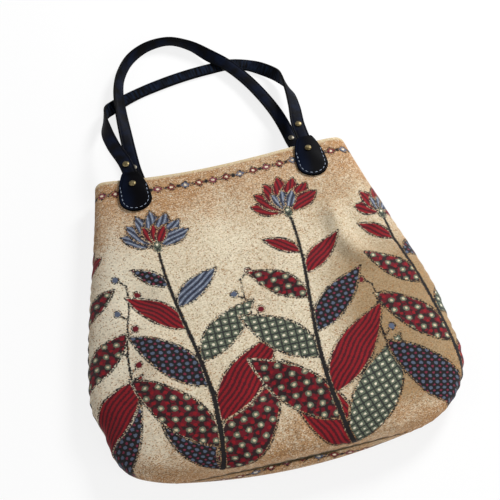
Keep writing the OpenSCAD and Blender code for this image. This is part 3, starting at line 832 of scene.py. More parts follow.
def plant(design, foot, top, sway, leaves, fills, flower):
    """A tall plant: stem, leaves in turn on both sides, a blossom at its top."""
    line = stem_line(foot, top, sway)
    for k, (share, turn, length, width) in enumerate(leaves):
        root = line[int(share * (len(line) - 1))]
        design.leaf(fills[k % len(fills)], root, turn, length, width, bend=turn * LEAF_BEND * length)
    design.stroke("black", line, *STEM_W)
    blossom(design, line[-1], *flower)


def berry_spray(design, foot, top, sway, count, fills):
    """A thin stem with berries on twigs to both sides in turn."""
    line = stem_line(foot, top, sway, SPRAY_STEPS)
    design.stroke("black", line, *SPRAY_W)
    for k in range(count):
        at = line[int((SPRAY_FROM + (1 - SPRAY_FROM) * k / (count - 1)) * (len(line) - 1))]
        side = -1 if k % 2 else 1
        end = (at[0] + side * TWIG_U, at[1] - TWIG_V)
        design.stroke("black", [at, end], *TWIG_W)
        design.dot(fills[k % len(fills)], end, BERRY_R, outline=BERRY_OUTLINE)


def border_row(design, level):
    """A straight row of lozenges with dots between them."""
    for k in range(2 * ROW_HALF // ROW_PITCH + 1):
        at = k * ROW_PITCH - ROW_HALF
        design.lozenge(ROW_FILLS[k % len(ROW_FILLS)], (at, level), *ROW_LOZENGE)
        design.dot("cream", (at, level), ROW_EYE)
        fill, outline = ROW_DOTS[k % len(ROW_DOTS)]
        design.dot(fill, (at + ROW_PITCH / 2, level), ROW_DOT, outline=outline)


# Leaves of the plants: place along the stem, turn from upright, length, width
SIDE_LEAVES = (
    (0.0, 24, 128, 46), (0.04, -30, 132, 50), (0.22, 34, 112, 42), (0.34, -38, 106, 40),
    (0.5, 40, 86, 33), (0.62, -42, 78, 30), (0.78, 44, 58, 22), (0.86, -44, 50, 19))
TALL_LEAVES = (
    (0.0, -20, 136, 50), (0.02, 30, 142, 54), (0.16, -36, 122, 46), (0.27, 38, 118, 44),
    (0.4, -40, 104, 40), (0.5, 42, 96, 36), (0.63, -43, 80, 30), (0.72, 44, 68, 26), (0.84, -46, 50, 19))


# Berry sprays: foot and top on the flat cloth, sway, berries and their fillings
FRONT_SPRAYS = (
    ((-14, 330), (-14, 168), 5, 7, ("berry", "slate")),
    ((124, 300), (122, 216), -4, 4, ("slate", "berry")),
    ((-156, 290), (-150, 150), -5, 6, ("berry", "slate")),
)
BACK_SPRAYS = (
    ((4, 330), (2, 168), 5, 7, ("slate", "berry")),
)

# Plants: foot, top, sway, leaves and their fillings; petals of the blossom, length, width, fillings
FRONT_PLANTS = (
    ((-214, 398), (-206, 122), -6, SIDE_LEAVES,
     ("dotted", "floral", "striped", "lattice", "floral"),
     (5, 44, 19, "striped", "banded")),
    ((-84, 394), (-92, 104), 9, TALL_LEAVES,
     ("dotted", "floral", "floral", "striped", "dotted", "lattice", "striped", "banded"),
     (7, 54, 22, "banded", "striped")),
    ((56, 396), (50, 94), -9, TALL_LEAVES,
     ("striped", "lattice", "floral", "striped", "lattice", "dotted", "floral", "striped"),
     (7, 56, 23, "striped", "banded")),
    ((196, 392), (180, 124), 7, SIDE_LEAVES,
     ("floral", "dotted", "striped", "floral", "lattice"),
     (5, 46, 20, "striped", "banded")),
)
BACK_PLANTS = (
    ((-205, 376), (-196, 132), 6, SIDE_LEAVES,
     ("striped", "dotted", "floral", "lattice", "floral"),
     (5, 44, 19, "striped", "banded")),
    ((-72, 376), (-64, 108), -9, TALL_LEAVES,
     ("lattice", "floral", "dotted", "striped", "floral", "striped", "banded"),
     (7, 54, 22, "striped", "banded")),
    ((76, 376), (72, 102), 9, TALL_LEAVES,
     ("floral", "striped", "lattice", "dotted", "floral", "banded", "striped"),
     (7, 56, 23, "banded", "striped")),
    ((205, 376), (196, 130), -7, SIDE_LEAVES,
     ("dotted", "floral", "striped", "lattice"),
     (5, 46, 20, "striped", "banded")),
)
FRONT_DESIGN = ((ROW_HIGH,), FRONT_SPRAYS, FRONT_PLANTS)
BACK_DESIGN = ((ROW_HIGH, ROW_LOW), BACK_SPRAYS, BACK_PLANTS)


def paint_design(design, rows, sprays, plants):
    """Paints straight rows, then berry sprays, then tall plants over them."""
    for level in rows:
        border_row(design, level)
    for spray in sprays:
        berry_spray(design, *spray)
    for tall in plants:
        plant(design, *tall)


# Grids of the cloth: steps of the inner face, columns and rows, crowding of rows at the bottom
STEP, LINING_STEP, CROWDING = 3, 2, 1.7
FINE_COLS, FINE_TAPER, FINE_CORNER = 92 * STEP, 58 * STEP, 34 * STEP
LINING_COLS, LINING_TAPER, LINING_CORNER, LEAST_ROW = 96, 66, 40, 0.005
FOLD_TURNS = np.radians([150, 120, 90, 60, 35, 15])
FOLD_END, HEM_EASE, FAR_EDGE = 0.4, 2, 100.0

# Relief of the front cloth in millimetres: ripples, where they fade out at the edges and around the tabs
RIPPLE_SEED, RIPPLE_WAVES, RIPPLE_SIZE, RIPPLE_LENGTHS = 7, 9, 0.55, (38, 110)
CLEAR_SIDE, CLEAR_BOTTOM, CLEAR_RIM, CREASE_FADE = 22, 18, 30, 8
TAB_REACH_X, TAB_REACH_Y, TAB_CLEAR, TAB_FADE = 30, 44, 0.95, 0.7

# Puckers along the seams: waves and their unevenness, way in from the seam, width, height
BOTTOM_PUCKER, SIDE_PUCKER = (0.42, 1.3, 0.11, 7, 7, 0.6), (0.4, 1.1, 0.09, 4, 6, 0.8)
PUCKER_RISE = 120


def fine_columns(count):
    return np.sin(QUARTER_TURN * np.linspace(-1, 1, count + 1))


def fine_rows(taper, corner):
    low = np.linspace(0, 1, taper + 1)
    turn = 2 - (1 - np.linspace(0, 1, corner + 1)[1:]) ** CROWDING
    return np.concatenate([low, turn])


def run_lengths(points, axis):
    """Way along rows or columns of points, from their start."""
    steps = np.linalg.norm(np.diff(points, axis=axis), axis=-1)
    start = np.zeros_like(np.take(steps, [0], axis=axis))
    return np.concatenate([start, np.cumsum(steps, axis=axis)], axis=axis)


def ripples(u, v):
    """Soft uneven ripples of the cloth, from a few waves with fixed random turns."""
    rng = np.random.default_rng(RIPPLE_SEED)
    total = np.zeros_like(u)
    for _ in range(RIPPLE_WAVES):
        turn, length, start = rng.uniform(0, np.pi), rng.uniform(*RIPPLE_LENGTHS), rng.uniform(0, 2 * np.pi)
        total += np.sin((u * math.cos(turn) + v * math.sin(turn)) * 2 * np.pi / length + start)
    return RIPPLE_SIZE * total / math.sqrt(RIPPLE_WAVES)


def puckers(along, away, wave, sway, sway_wave, inset, width, height):
    """Waves of the cloth along a seam, a little way in from it."""
    waves = np.sin(along * wave + sway * np.sin(along * sway_wave))
    return waves * np.exp(-((away - inset) / width) ** 2) * height


def front_relief(points, p, u, v, to_side, to_bottom):
    """Depth of ripples, creases and puckers; the ripples fade at the edges and under the tabs."""
    clear = np.minimum(ease(to_side / CLEAR_SIDE), ease(to_bottom / CLEAR_BOTTOM)) * ease(v / CLEAR_RIM)
    for x in (-FRONT_TAB_X, FRONT_TAB_X):
        off = np.hypot((points[..., 0] - x) / TAB_REACH_X, (points[..., 1] + RIVET_DROP) / TAB_REACH_Y)
        clear = clear * ease((off - TAB_CLEAR) / TAB_FADE)
    lift = ripples(u, v) * clear + folds_z(points[..., 0], down(p), CREASES) * ease(to_bottom / CREASE_FADE)
    pucker = puckers(v, to_side, *SIDE_PUCKER) * ease(v / PUCKER_RISE)
    return lift + puckers(u, to_bottom, *BOTTOM_PUCKER) + pucker


def rim_fold(face, s, p, edge, into):
    """Rows of points around the folded rim, from its inside to the outer face."""
    up_way = unit(face(s, p - PROBE) - face(s, p))
    centre = edge + into * HEM_T / 2
    return np.stack([centre + HEM_T / 2 * (math.sin(t) * up_way - math.cos(t) * into) for t in FOLD_TURNS])


def weave_in(made, shapes, u, v, to_side, to_bottom):
    """Stores where each point of a panel lies on the flat cloth, and the woven design there."""
    rows = len(FOLD_TURNS)
    fold_v = np.linspace(-HEM_T, -FOLD_END, rows)[:, None] + 0 * u[:1]
    inner_u, inner_v = u[::STEP, ::STEP].ravel(), -v[::STEP, ::STEP].ravel() - HEM_T

    def with_fold(head, field):
        return np.concatenate([head, field]).ravel()

    def keep(name, fields, inside):
        columns = [np.append(field, np.broadcast_to(rest, inner_u.shape))
                   for field, rest in zip(fields, inside)]
        keep_vectors(made, name, np.stack(columns, -1))

    flat_u, flat_v = with_fold(np.repeat(u[:1], rows, 0), u), with_fold(fold_v, v)
    design = Design(flat_u, flat_v)
    paint_design(design, *shapes)
    keep("cloth_at", (flat_u, flat_v, 0 * flat_u), (inner_u, inner_v, 0))
    keep("leaf_at", (design.leaf_a, design.leaf_b, 0 * flat_u), (0, 0, 0))
    keep("edges", (
        with_fold(0 * fold_v, v),
        with_fold(np.repeat(to_side[:1], rows, 0), to_side),
        with_fold(0 * fold_v + FAR_EDGE, to_bottom)), (FAR_EDGE, FAR_EDGE, FAR_EDGE))
    for k, name in enumerate(PRINT_SETS):
        keep(name, [design.field[shape] for shape in PRINT_FIELDS[3 * k:3 * k + 3]], (FAR, FAR, FAR))


def panel(name, face, shapes, finish):
    """One panel of tapestry cloth: outer face, rounded fold at the rim, hem and inner face."""
    s, p = np.meshgrid(fine_columns(FINE_COLS), fine_rows(FINE_TAPER, FINE_CORNER))
    plain = face(s, p)
    along, v = run_lengths(plain, 1), run_lengths(plain, 0)
    u = along - along[:, [FINE_COLS // 2]]
    to_side, to_bottom = np.minimum(along, along[:, -1:] - along), v[-1:] - v
    into = inward_of(face, s, p)
    outer = plain
    if face is front:
        outer = plain - into * front_relief(plain, p, u, v, to_side, to_bottom)[..., None]
    depth = np.where(down(p) < HEM_H + HEM_EASE, HEM_T, CLOTH_T)[..., None]
    inner = (plain + depth * into)[::STEP, ::STEP]
    fold = rim_fold(face, s[0], p[0], outer[0], into[0])
    made = shell(name, np.concatenate([fold, outer]), inner, finish)
    weave_in(made, shapes, u, v, to_side, to_bottom)
    return made


def lining(name, face, finish):
    """The lining inside one panel, from just under the hem."""
    start = (HEM_H + LINING_T + SEAT_GAP) / TAPER_LEN
    rows = fine_rows(LINING_TAPER, LINING_CORNER)
    rows = np.concatenate([[start], rows[rows > start + LEAST_ROW]])
    rows = rows[:len(rows) - (len(rows) - 1) % LINING_STEP]
    rows[-1] = 2
    s, p = np.meshgrid(fine_columns(LINING_COLS), rows)
    deep = (CLOTH_T + SEAT_GAP + LINING_EASE * ease(1 - (2 - p) / BOTTOM_ZONE))[..., None]
    into = inward_of(face, s, p)
    outer = face(s, p) + deep * into
    return shell(name, outer, (outer + LINING_T * into)[::LINING_STEP, ::LINING_STEP], finish)


# Straps
def seat(face, x, up):
    """Middle of the strap where it lies on the cloth, and its outer face's direction."""
    p = np.float64((RIVET_DROP - up) / TAPER_LEN)
    s = column_at(x, p)
    n = normal_of(face, s, p)
    return np.concatenate([face(s, p) + (STRAP_SEAT + STRAP_T / 2) * n, n])


# Handle routes: end measured from, across and up as shares of the reach, share of height, outer direction
FRONT_ROUTE = (
    (-1, -0.025, (FRONT_RIVET_Y - RIVET_SKEW) / HANDLE_REACH, 0.97, (-0.05, 0, 1)),
    (-1, -0.073, 0.216, 0.78, (-0.25, 0, 0.97)),
    (-1, -0.095, 0.345, 0.54, (-0.6, 0, 0.8)),
    (-1, -0.095, 0.444, 0.3, (-0.93, 0.1, 0.35)),
    (-1, -0.073, 0.539, 0.09, (-0.65, 0.65, -0.4)),
    (-1, -0.034, 0.582, 0.02, (-0.2, 0.5, -0.84)),
    (-1, 0.022, 0.621, 0.02, (0, 0.15, -0.98)),
    (-1, 0.095, 0.655, 0.02, (0, 0, -1)),
    (0, -0.237, 0.698, 0.02, (0, 0, -1)),
    (0, -0.078, 0.733, 0.02, (0, 0, -1)),
    (0, 0.082, 0.754, 0.02, (0, 0, -1)),
    (0, 0.22, 0.759, 0.02, (0, 0.05, -1)),
    (1, -0.142, 0.72, 0.02, (0.05, 0.15, -0.98)),
    (1, -0.069, 0.655, 0.03, (0.35, 0.5, -0.79)),
    (1, -0.017, 0.586, 0.09, (0.75, 0.45, -0.48)),
    (1, 0.004, 0.517, 0.2, (0.97, 0.2, 0.1)),
    (1, 0.013, 0.414, 0.42, (0.72, 0, 0.7)),
    (1, 0.004, 0.267, 0.7, (0.4, 0, 0.92)),
    (1, -0.017, (FRONT_RIVET_Y + RIVET_SKEW) / HANDLE_REACH, 0.97, (0.05, 0, 1)),
)
BACK_ROUTE = (
    (-1, -0.017, BACK_RIVET_Y / HANDLE_REACH, 1, (0, 0, -1)),
    (-1, -0.022, 0.216, 1, (-0.05, 0, -1)),
    (-1, -0.026, 0.362, 1, (-0.3, 0, -0.95)),
    (-1, -0.026, 0.526, 0.9, (-0.6, 0.05, -0.8)),
    (-1, -0.017, 0.664, 0.75, (-0.75, 0.2, -0.63)),
    (-1, 0.017, 0.797, 0.3, (-0.75, 0.5, -0.43)),
    (-1, 0.095, 0.918, 0.1, (-0.6, 0.74, -0.3)),
    (0, -0.228, 0.991, 0.05, (-0.3, 0.95, -0.05)),
    (0, -0.103, 1, 0.05, (0.1, 0.98, 0.1)),
    (0, 0.004, 0.94, 0.1, (0.5, 0.85, -0.1)),
    (0, 0.099, 0.836, 0.35, (0.5, 0.57, -0.65)),
    (0, 0.207, 0.72, 0.8, (0.1, 0.1, -0.99)),
    (0, 0.28, 0.603, 0.9, (0, 0, -1)),
    (1, -0.103, 0.466, 1, (0, 0, -1)),
    (1, -0.052, 0.315, 1, (0, 0, -1)),
    (1, -0.026, 0.185, 1, (0, 0, -1)),
    (1, -0.017, BACK_RIVET_Y / HANDLE_REACH, 1, (0, 0, -1)),
)
TAIL_STEPS = (-STRAP_TAIL, -STRAP_TAIL / 2, 0, RIVET_DROP)


def strap_line(face, route, tab_x, shift=0.0):
    """Points of a strap's middle line with the directions of its outer face."""
    seat_z = seat(face, tab_x - shift, 0)[2] - STRAP_T / 2
    flat = np.array([[r[0] * tab_x + r[1] * HANDLE_REACH, r[2] * HANDLE_REACH] for r in route], float)
    middle = []
    for i, r in enumerate(route):
        n = unit(np.array(r[4], float))
        way = flat[min(len(route) - 1, i + 1)] - flat[max(0, i - 1)]
        side = unit(np.cross(unit(np.append(way, 0.0)), n))
        half = STRAP_T / 2 * abs(n[2]) + STRAP_W / 2 * abs(side[2])
        middle.append(np.concatenate([flat[i], [r[3] * seat_z + half], n]))
    tails = [[seat(face, k * tab_x - shift, up) for up in TAIL_STEPS] for k in (-1, 1)]
    return np.array(tails[0] + middle + tails[1][::-1])


def line_slopes(line):
    spans = np.linalg.norm(np.diff(line[:, :3], axis=0), axis=1)
    slopes = np.diff(line, axis=0) / spans[:, None]
    before, after = spans[:-1, None], spans[1:, None]
    middle = (slopes[1:] * before + slopes[:-1] * after) / (before + after)
    return spans, np.concatenate([slopes[:1], middle, slopes[-1:]])


# Strap in millimetres: way between rings, rounded edge, pressed border line, crown of its faces
STRAP_RING, STRAP_EDGE, EDGE_TURNS = 2.6, 1.0, np.radians([0, 22, 45, 68, 90])
BORDER_IN, BORDER_HALF, BORDER_DEEP, CROWN_FROM, CROWN_H = 2.0, 0.5, 0.22, 2.6, 0.12


def smooth_line(line):
    """Rings along a smooth curve through the line's points."""
    spans, slopes = line_slopes(line)
    rings = []
    for i, span in enumerate(spans):
        steps = max(1, round(span / STRAP_RING))
        start, end, step = slopes[i] * span, slopes[i + 1] * span, line[i + 1] - line[i]
        for t in np.arange(steps) / steps:
            bend = (3 * step - 2 * start - end) * t ** 2 + (start + end - 2 * step) * t ** 3
            rings.append(line[i] + start * t + bend)
    return np.array(rings + [line[-1]])


def strap_section():
    """Corners of the strap's section: across, out, and which face they are on."""
    half_w, half_t = STRAP_W / 2, STRAP_T / 2
    row = [(STRAP_EDGE * (1 - math.cos(t)) - half_w, half_t - STRAP_EDGE * (1 - math.sin(t)))
           for t in EDGE_TURNS]
    row += [(BORDER_IN + k * BORDER_HALF - half_w, half_t - deep)
            for k, deep in enumerate((0, BORDER_DEEP, 0))]
    row.append((-CROWN_FROM, half_t + CROWN_H))
    row += [(-x, y) for x, y in row[::-1]]
    return np.array([(way * x, way * y, way) for way in (1, -1) for x, y in row])


def strap(name, line, finish, creased):
    """A flat leather strap swept along its line; a creased one shows creases on its inner face."""
    path = smooth_line(line)
    middle, out = path[:, :3], path[:, 3:]
    way = unit(np.gradient(middle, axis=0))
    side = unit(np.cross(way, out))
    out = np.cross(side, way)
    section = strap_section()
    points = middle[:, None] + section[None, :, :1] * side[:, None] + section[None, :, 1:2] * out[:, None]
    rings, count = points.shape[:2]
    faces = []
    for i in range(rings - 1):
        for j in range(count):
            a, b = i * count + j, i * count + (j + 1) % count
            faces.append([a, b, b + count, a + count])
    faces += [list(range(count))[::-1], [(rings - 1) * count + j for j in range(count)]]
    made = piece(name, place(points), faces, finish)
    face_outwards(made)
    along = run_lengths(middle, 0)[:, None] + np.zeros((1, count))
    across, face = (section[None, :, k] + np.zeros((rings, 1)) for k in (0, 2))
    inner = (face < 0) * creased
    keep_vectors(made, "strap_at", np.stack([along, across, inner], -1).reshape(-1, 3))
    return made


# Tabs in millimetres: way above the rivet, margin at the strap, swell of the sides, tail under them, edge
TAB_ABOVE, TAB_MARGIN, TAB_SWELL, TAIL_FROM, TAIL_RAMP, TAB_EDGE = 7, 2, 0.7, 4, 28, 1.1
TAB_TOP, TAB_TOP_W = RIVET_DROP + TAB_ABOVE, STRAP_W + TAB_MARGIN
TAB_ROUND_Y = TAB_TOP - TAB_H + TAB_W / 2

# Grids of a tab and of its outline: rows along the sides and around the end, columns; the last row's turn
TAB_ROWS, TAB_COLS, OUTLINE_ROWS, OUTLINE_COLS = (34, 22), 32, (60, 50), 30
TAB_CROWDING, TAB_END = 1.8, 88.5

# Stitches in millimetres: way in from the edge, size, pitch, start below the rivet, the groove under them
STITCH_IN, STITCH_LENGTH, STITCH_W, STITCH_H, STITCH_PITCH = 3.8, 3.9, 0.8, 0.64, 5.9
STITCH_FROM, STITCH_SINK, STITCH_STEPS, STITCH_TURNS = 3, 0.12, 12, 60
STITCH_SEGMENTS, STITCH_RINGS = 10, 8
GROOVE_DEEP, GROOVE_W, GROOVE_FROM, GROOVE_RAMP = 0.3, 0.7, 1, 4
SAME_POINT = 1e-6


def tab_rows(straight, rounded):
    """Height above the rivet and half width of the tab, from its top to its round end."""
    q = np.linspace(0, 1, straight) ** TAB_CROWDING
    half = lerp(TAB_TOP_W, TAB_W, np.sin(QUARTER_TURN * q) ** TAB_SWELL) / 2
    a = np.radians(np.linspace(0, TAB_END, rounded + 1)[1:])
    heights = np.concatenate([lerp(TAB_TOP, TAB_ROUND_Y, q), TAB_ROUND_Y - TAB_W / 2 * np.sin(a)])
    return heights, np.concatenate([half, TAB_W / 2 * np.cos(a)])


def tab_lift(a, b):
    """Height of the tab's underside over the cloth, which clears the strap's tail."""
    over = np.maximum(0, 1 - (2 * a / TAB_W) ** 2) * (1 - ease((-b - TAIL_FROM) / TAIL_RAMP))
    return TAB_SEAT + (STRAP_T + 2 * STRAP_SEAT - TAB_SEAT) * over


def on_tab(face, x, a, b, height):
    """Points over the cloth at a tab: across and up from its rivet, and above its underside."""
    p = (RIVET_DROP - b) / TAPER_LEN
    row = np.float64(RIVET_DROP / TAPER_LEN)
    n = normal_of(face, column_at(x, row), row)
    return face(column_at(x + a, p), p) + (tab_lift(a, b) + height)[..., None] * n


def tab_outline():
    """Points close together along the tab's edge."""
    heights, halves = tab_rows(*OUTLINE_ROWS)
    top = np.linspace(-halves[0], halves[0], OUTLINE_COLS)
    sides = [np.stack([side * halves, heights], -1) for side in (1, -1)]
    return np.concatenate([*sides, np.stack([top, np.full(OUTLINE_COLS, heights[0])], -1)])


def tab(name, face, x, finish):
    """A leather tab with a rounded edge, shaped over the strap's end."""
    heights, halves = tab_rows(*TAB_ROWS)
    shares = fine_columns(TAB_COLS)
    a, b = shares[None] * halves[:, None], heights[:, None] + 0 * shares[None]
    outline = tab_outline()
    edge = np.min(np.hypot(a[..., None] - outline[:, 0], b[..., None] - outline[:, 1]), -1)
    inset = 1 - np.minimum(edge, TAB_EDGE) / TAB_EDGE
    groove = np.exp(-((edge - STITCH_IN) / GROOVE_W) ** 2) * ease((-b - GROOVE_FROM) / GROOVE_RAMP)
    crown = TAB_T - TAB_EDGE * (1 - np.sqrt(1 - inset ** 2)) - GROOVE_DEEP * groove
    top, low = on_tab(face, x, a, b, crown), on_tab(face, x, a, b, 0 * a)
    rows, cols = a.shape
    faces = grid_faces(rows, cols) + grid_faces(rows, cols, rows * cols)
    for upper, lower in zip(border(rows, cols), border(rows, cols, rows * cols)):
        faces += wall(upper, lower)
    made = piece(name, place(np.concatenate([top.reshape(-1, 3), low.reshape(-1, 3)])), faces, finish)
    face_outwards(made)
    keep_vectors(made, "tab_at", np.tile(np.stack([a, b, edge], -1).reshape(-1, 3), (2, 1)))
    return made


def stitch_line(face, x):
    """Points and outward directions along a tab's stitches, down one side and up the other."""
    reach = TAB_W / 2 - STITCH_IN
    turn = np.linspace(-QUARTER_TURN, QUARTER_TURN, STITCH_TURNS)
    side, fall = np.full(STITCH_STEPS, reach), np.linspace(-STITCH_FROM, TAB_ROUND_Y, STITCH_STEPS)
    a = np.concatenate([-side, reach * np.sin(turn), side])
    b = np.concatenate([fall, TAB_ROUND_Y - reach * np.cos(turn), fall[::-1]])
    keep = np.append(True, np.hypot(np.diff(a), np.diff(b)) > SAME_POINT)
    a, b = a[keep], b[keep]
    points = on_tab(face, x, a, b, np.full(len(a), TAB_T - STITCH_SINK))
    higher = on_tab(face, x, a, b, np.full(len(a), 2 * TAB_T))
    return points, unit(higher - points)


# Geometry Nodes trees of the stitches and rivets
def tree_with_inputs(name, inputs):
    """A tree with named inputs, its input node, and the identifier of each input."""
    tree = bpy.data.node_groups.new(name, "GeometryNodeTree")
    tree.interface.new_socket("Geometry", in_out="INPUT", socket_type="NodeSocketGeometry")
    tree.interface.new_socket("Geometry", in_out="OUTPUT", socket_type="NodeSocketGeometry")
    names = {label: tree.interface.new_socket(label, in_out="INPUT", socket_type=kind).identifier
             for label, kind in inputs.items()}
    return tree, add_node(tree, "NodeGroupInput").outputs, names


def out_way(tree):
    """The outward direction stored at the points of a tree's source."""
    read = add_node(
        tree, "GeometryNodeInputNamedAttribute", {"data_type": "FLOAT_VECTOR"}, {"Name": "out_way"})
    return read.outputs[0]


def turned_to(tree, axis, vector):
    """A rotation that turns an axis to a vector."""
    turned = add_node(tree, "FunctionNodeAlignRotationToVector", {"axis": axis}, {"Vector": vector})
    return turned.outputs[0]


def finish_tree(tree, laid, finish):
    """Ends a tree with real meshes in their finish."""
    real = add_node(tree, "GeometryNodeRealizeInstances", None, {0: laid.outputs[0]})
    dressed = add_node(tree, "GeometryNodeSetMaterial", None, {
        "Geometry": real.outputs[0], "Material": finish})
    add_node(tree, "NodeGroupOutput", None, {0: dressed.outputs[0]})


def stitch_tree():
    """Lays thread stitches along a line, each turned along it and out of the leather."""
    tree, given, names = tree_with_inputs("stitch_row", {
        "Pitch": "NodeSocketFloat", "Stitch": "NodeSocketVector", "Finish": "NodeSocketMaterial"})
    edge_line = add_node(tree, "GeometryNodeMeshToCurve", None, {0: given["Geometry"]})
    line = add_node(tree, "GeometryNodeResampleCurve", {"mode": "LENGTH"}, {
        "Curve": edge_line.outputs[0], "Length": given["Pitch"]})
    along = turned_to(tree, "X", add_node(tree, "GeometryNodeInputTangent").outputs[0])
    upright = add_node(tree, "FunctionNodeAlignRotationToVector", {"axis": "Z", "pivot_axis": "X"}, {
        "Rotation": along, "Vector": out_way(tree)})
    thread = add_node(tree, "GeometryNodeMeshUVSphere", None, {
        "Segments": STITCH_SEGMENTS, "Rings": STITCH_RINGS, "Radius": 0.5})
    smooth = add_node(tree, "GeometryNodeSetShadeSmooth", None, {0: thread.outputs[0]})
    laid = add_node(tree, "GeometryNodeInstanceOnPoints", None, {
        "Points": line.outputs[0], "Instance": smooth.outputs[0], "Rotation": upright.outputs[0],
        "Scale": given["Stitch"]})
    finish_tree(tree, laid, given["Finish"])
    return tree, names


def rivet_tree():
    """Sets a rivet at each point, turned to the point's direction."""
    tree, given, names = tree_with_inputs("rivet_set", {
        "Rivet": "NodeSocketObject", "Finish": "NodeSocketMaterial"})
    shape = add_node(tree, "GeometryNodeObjectInfo", None, {"Object": given["Rivet"]})
    spots = add_node(tree, "GeometryNodeMeshToPoints", None, {"Mesh": given["Geometry"]})
    laid = add_node(tree, "GeometryNodeInstanceOnPoints", None, {
        "Points": spots.outputs[0], "Instance": shape.outputs["Geometry"],
        "Rotation": turned_to(tree, "Z", out_way(tree))})
    finish_tree(tree, laid, given["Finish"])
    return tree, names


def grown(name, source, tree, names, values):
    """The plain mesh that a tree makes from a source object, which is then removed."""
    grower = source.modifiers.new(name, "NODES")
    grower.node_group = tree
    for label, value in values.items():
        grower[names[label]] = value
    bpy.context.view_layer.update()
    mesh = bpy.data.meshes.new_from_object(source.evaluated_get(bpy.context.evaluated_depsgraph_get()))
    bpy.data.objects.remove(source)
    mesh.name = name
    mesh.materials.clear()
    mesh.materials.append(values["Finish"])
    made = bpy.data.objects.new(name, mesh)
    bpy.context.scene.collection.objects.link(made)
    return made


def stitches(name, lines, finish):
    """Stitches along each line of points and outward directions."""
    points = np.concatenate([spots for spots, _ in lines])
    source = piece(name + "_lines", place(points), [], finish, smooth=False)
    starts = np.cumsum([0] + [len(spots) for spots, _ in lines])
    runs = [(k, k + 1) for a, b in zip(starts[:-1], starts[1:]) for k in range(int(a), int(b) - 1)]
    source.data.edges.add(len(runs))
    source.data.edges.foreach_set("vertices", np.array(runs).ravel())
    keep_vectors(source, "out_way", np.concatenate([out for _, out in lines]))
    tree, names = stitch_tree()
    size = (STITCH_LENGTH * MM, STITCH_W * MM, STITCH_H * MM)
    return grown(name, source, tree, names, {"Pitch": STITCH_PITCH * MM, "Stitch": size, "Finish": finish})


# Rivets in millimetres: lip of the domed cap, steps of the turning, flat back cap with its rounded edges
CAP_LIP, LIP_IN, LIP_UP, DOME_STEPS, TURN_STEPS = 0.55, 0.25, 0.2, 12, 32
BACK_T, BACK_IN, BACK_ROUND_IN, BACK_ROUND_UP, BACK_BEVEL = 1.2, 0.3, 0.5, 0.4, 0.2
BACK_BELOW = 0.1


def rivet_shape(name, grip, finish):
    """A turned rivet: domed cap with a small lip, post, flat back cap."""
    radius, back_r, post_r, foot = CAP_D / 2, CAP_D / 2 - BACK_IN, POST_D / 2, -grip - BACK_T
    profile = [
        (back_r - BACK_ROUND_IN, foot), (back_r, foot + BACK_ROUND_UP),
        (back_r, -grip - BACK_BEVEL), (back_r - BACK_BEVEL, -grip),
        (post_r, -grip), (post_r, 0.0), (radius - LIP_IN, 0.0), (radius, LIP_UP)]
    profile += [(radius * math.cos(t), CAP_LIP + (CAP_H - CAP_LIP) * math.sin(t))
                for t in np.linspace(0, QUARTER_TURN, DOME_STEPS)[:-1]]
    turns = np.linspace(0, 2 * np.pi, TURN_STEPS + 1)[:-1]
    points = [(r * math.cos(t), r * math.sin(t), z) for t in turns for r, z in profile]
    points += [(0, 0, foot), (0, 0, CAP_H)]
    count, ends = len(profile), len(turns) * len(profile)
    faces = []
    for i in range(TURN_STEPS):
        a, b = i * count, (i + 1) % TURN_STEPS * count
        faces += [[a + j, b + j, b + j + 1, a + j + 1] for j in range(count - 1)]
        faces += [[ends, b, a], [ends + 1, a + count - 1, b + count - 1]]
    made = piece(name, np.array(points) * MM, faces, finish)
    face_outwards(made)
    is_back = (np.array(points)[:, 2] < -BACK_BELOW).astype(float)
    keep_vectors(made, "rivet_at", np.stack([is_back, 0 * is_back, 0 * is_back], -1))
    return made


def rivets(name, places, height, grip, finish):
    """Rivets at places on the straps, each given with its outward direction."""
    points = np.array([spot[:3] + height * spot[3:] for spot in places])
    source = piece(name + "_spots", place(points), [], finish, smooth=False)
    keep_vectors(source, "out_way", np.array([spot[3:] for spot in places]))
    shape = rivet_shape(name + "_shape", grip, finish)
    tree, names = rivet_tree()
    made = grown(name, source, tree, names, {"Rivet": shape, "Finish": finish})
    bpy.data.objects.remove(shape)
    return made


def strap_place(line, i):
    """A point of a strap's line with the direction of its outer face."""
    way = unit(line_slopes(line)[1][i, :3])
    side = unit(np.cross(way, line[i, 3:]))
    return np.concatenate([line[i, :3], np.cross(side, way)])


# Camera of the photograph: lens and sensor in millimetres, turn and rise in degrees, way and aim in metres
LENS, SENSOR, CLIP_NEAR, CLIP_FAR = 63.47, 36, 0.05, 20
VIEW_TURN, VIEW_RISE = math.radians(-13.14), math.radians(60)
VIEW_WAY, VIEW_AIM = 1.05, (0.00433, -0.0489, 0.02)


def set_camera():
    camera = bpy.data.cameras.new("camera")
    camera.lens, camera.sensor_width = LENS, SENSOR
    camera.clip_start, camera.clip_end = CLIP_NEAR, CLIP_FAR
    made = bpy.data.objects.new("camera", camera)
    bpy.context.scene.collection.objects.link(made)
    level = math.cos(VIEW_RISE)
    back_way = Vector((level * math.sin(VIEW_TURN), -level * math.cos(VIEW_TURN), math.sin(VIEW_RISE)))
    made.location = Vector(VIEW_AIM) + VIEW_WAY * back_way
    made.rotation_euler = back_way.to_track_quat("Z", "Y").to_euler()
    bpy.context.scene.camera = made


set_camera()

# Finishes
TAPESTRY, LINING = tapestry_finish(), lining_finish()
STRAP_LEATHER, TAB_LEATHER = strap_finish(), tab_finish()
THREAD, BRASS = thread_finish(), rivet_finish()

# Tabs: the cloth each lies on, and its place across
TABS = {
    "front_left_tab": (front, -FRONT_TAB_X - TAB_SHIFT),
    "front_right_tab": (front, FRONT_TAB_X - TAB_SHIFT),
    "back_left_tab": (back, -BACK_TAB_X),
    "back_right_tab": (back, BACK_TAB_X),
}

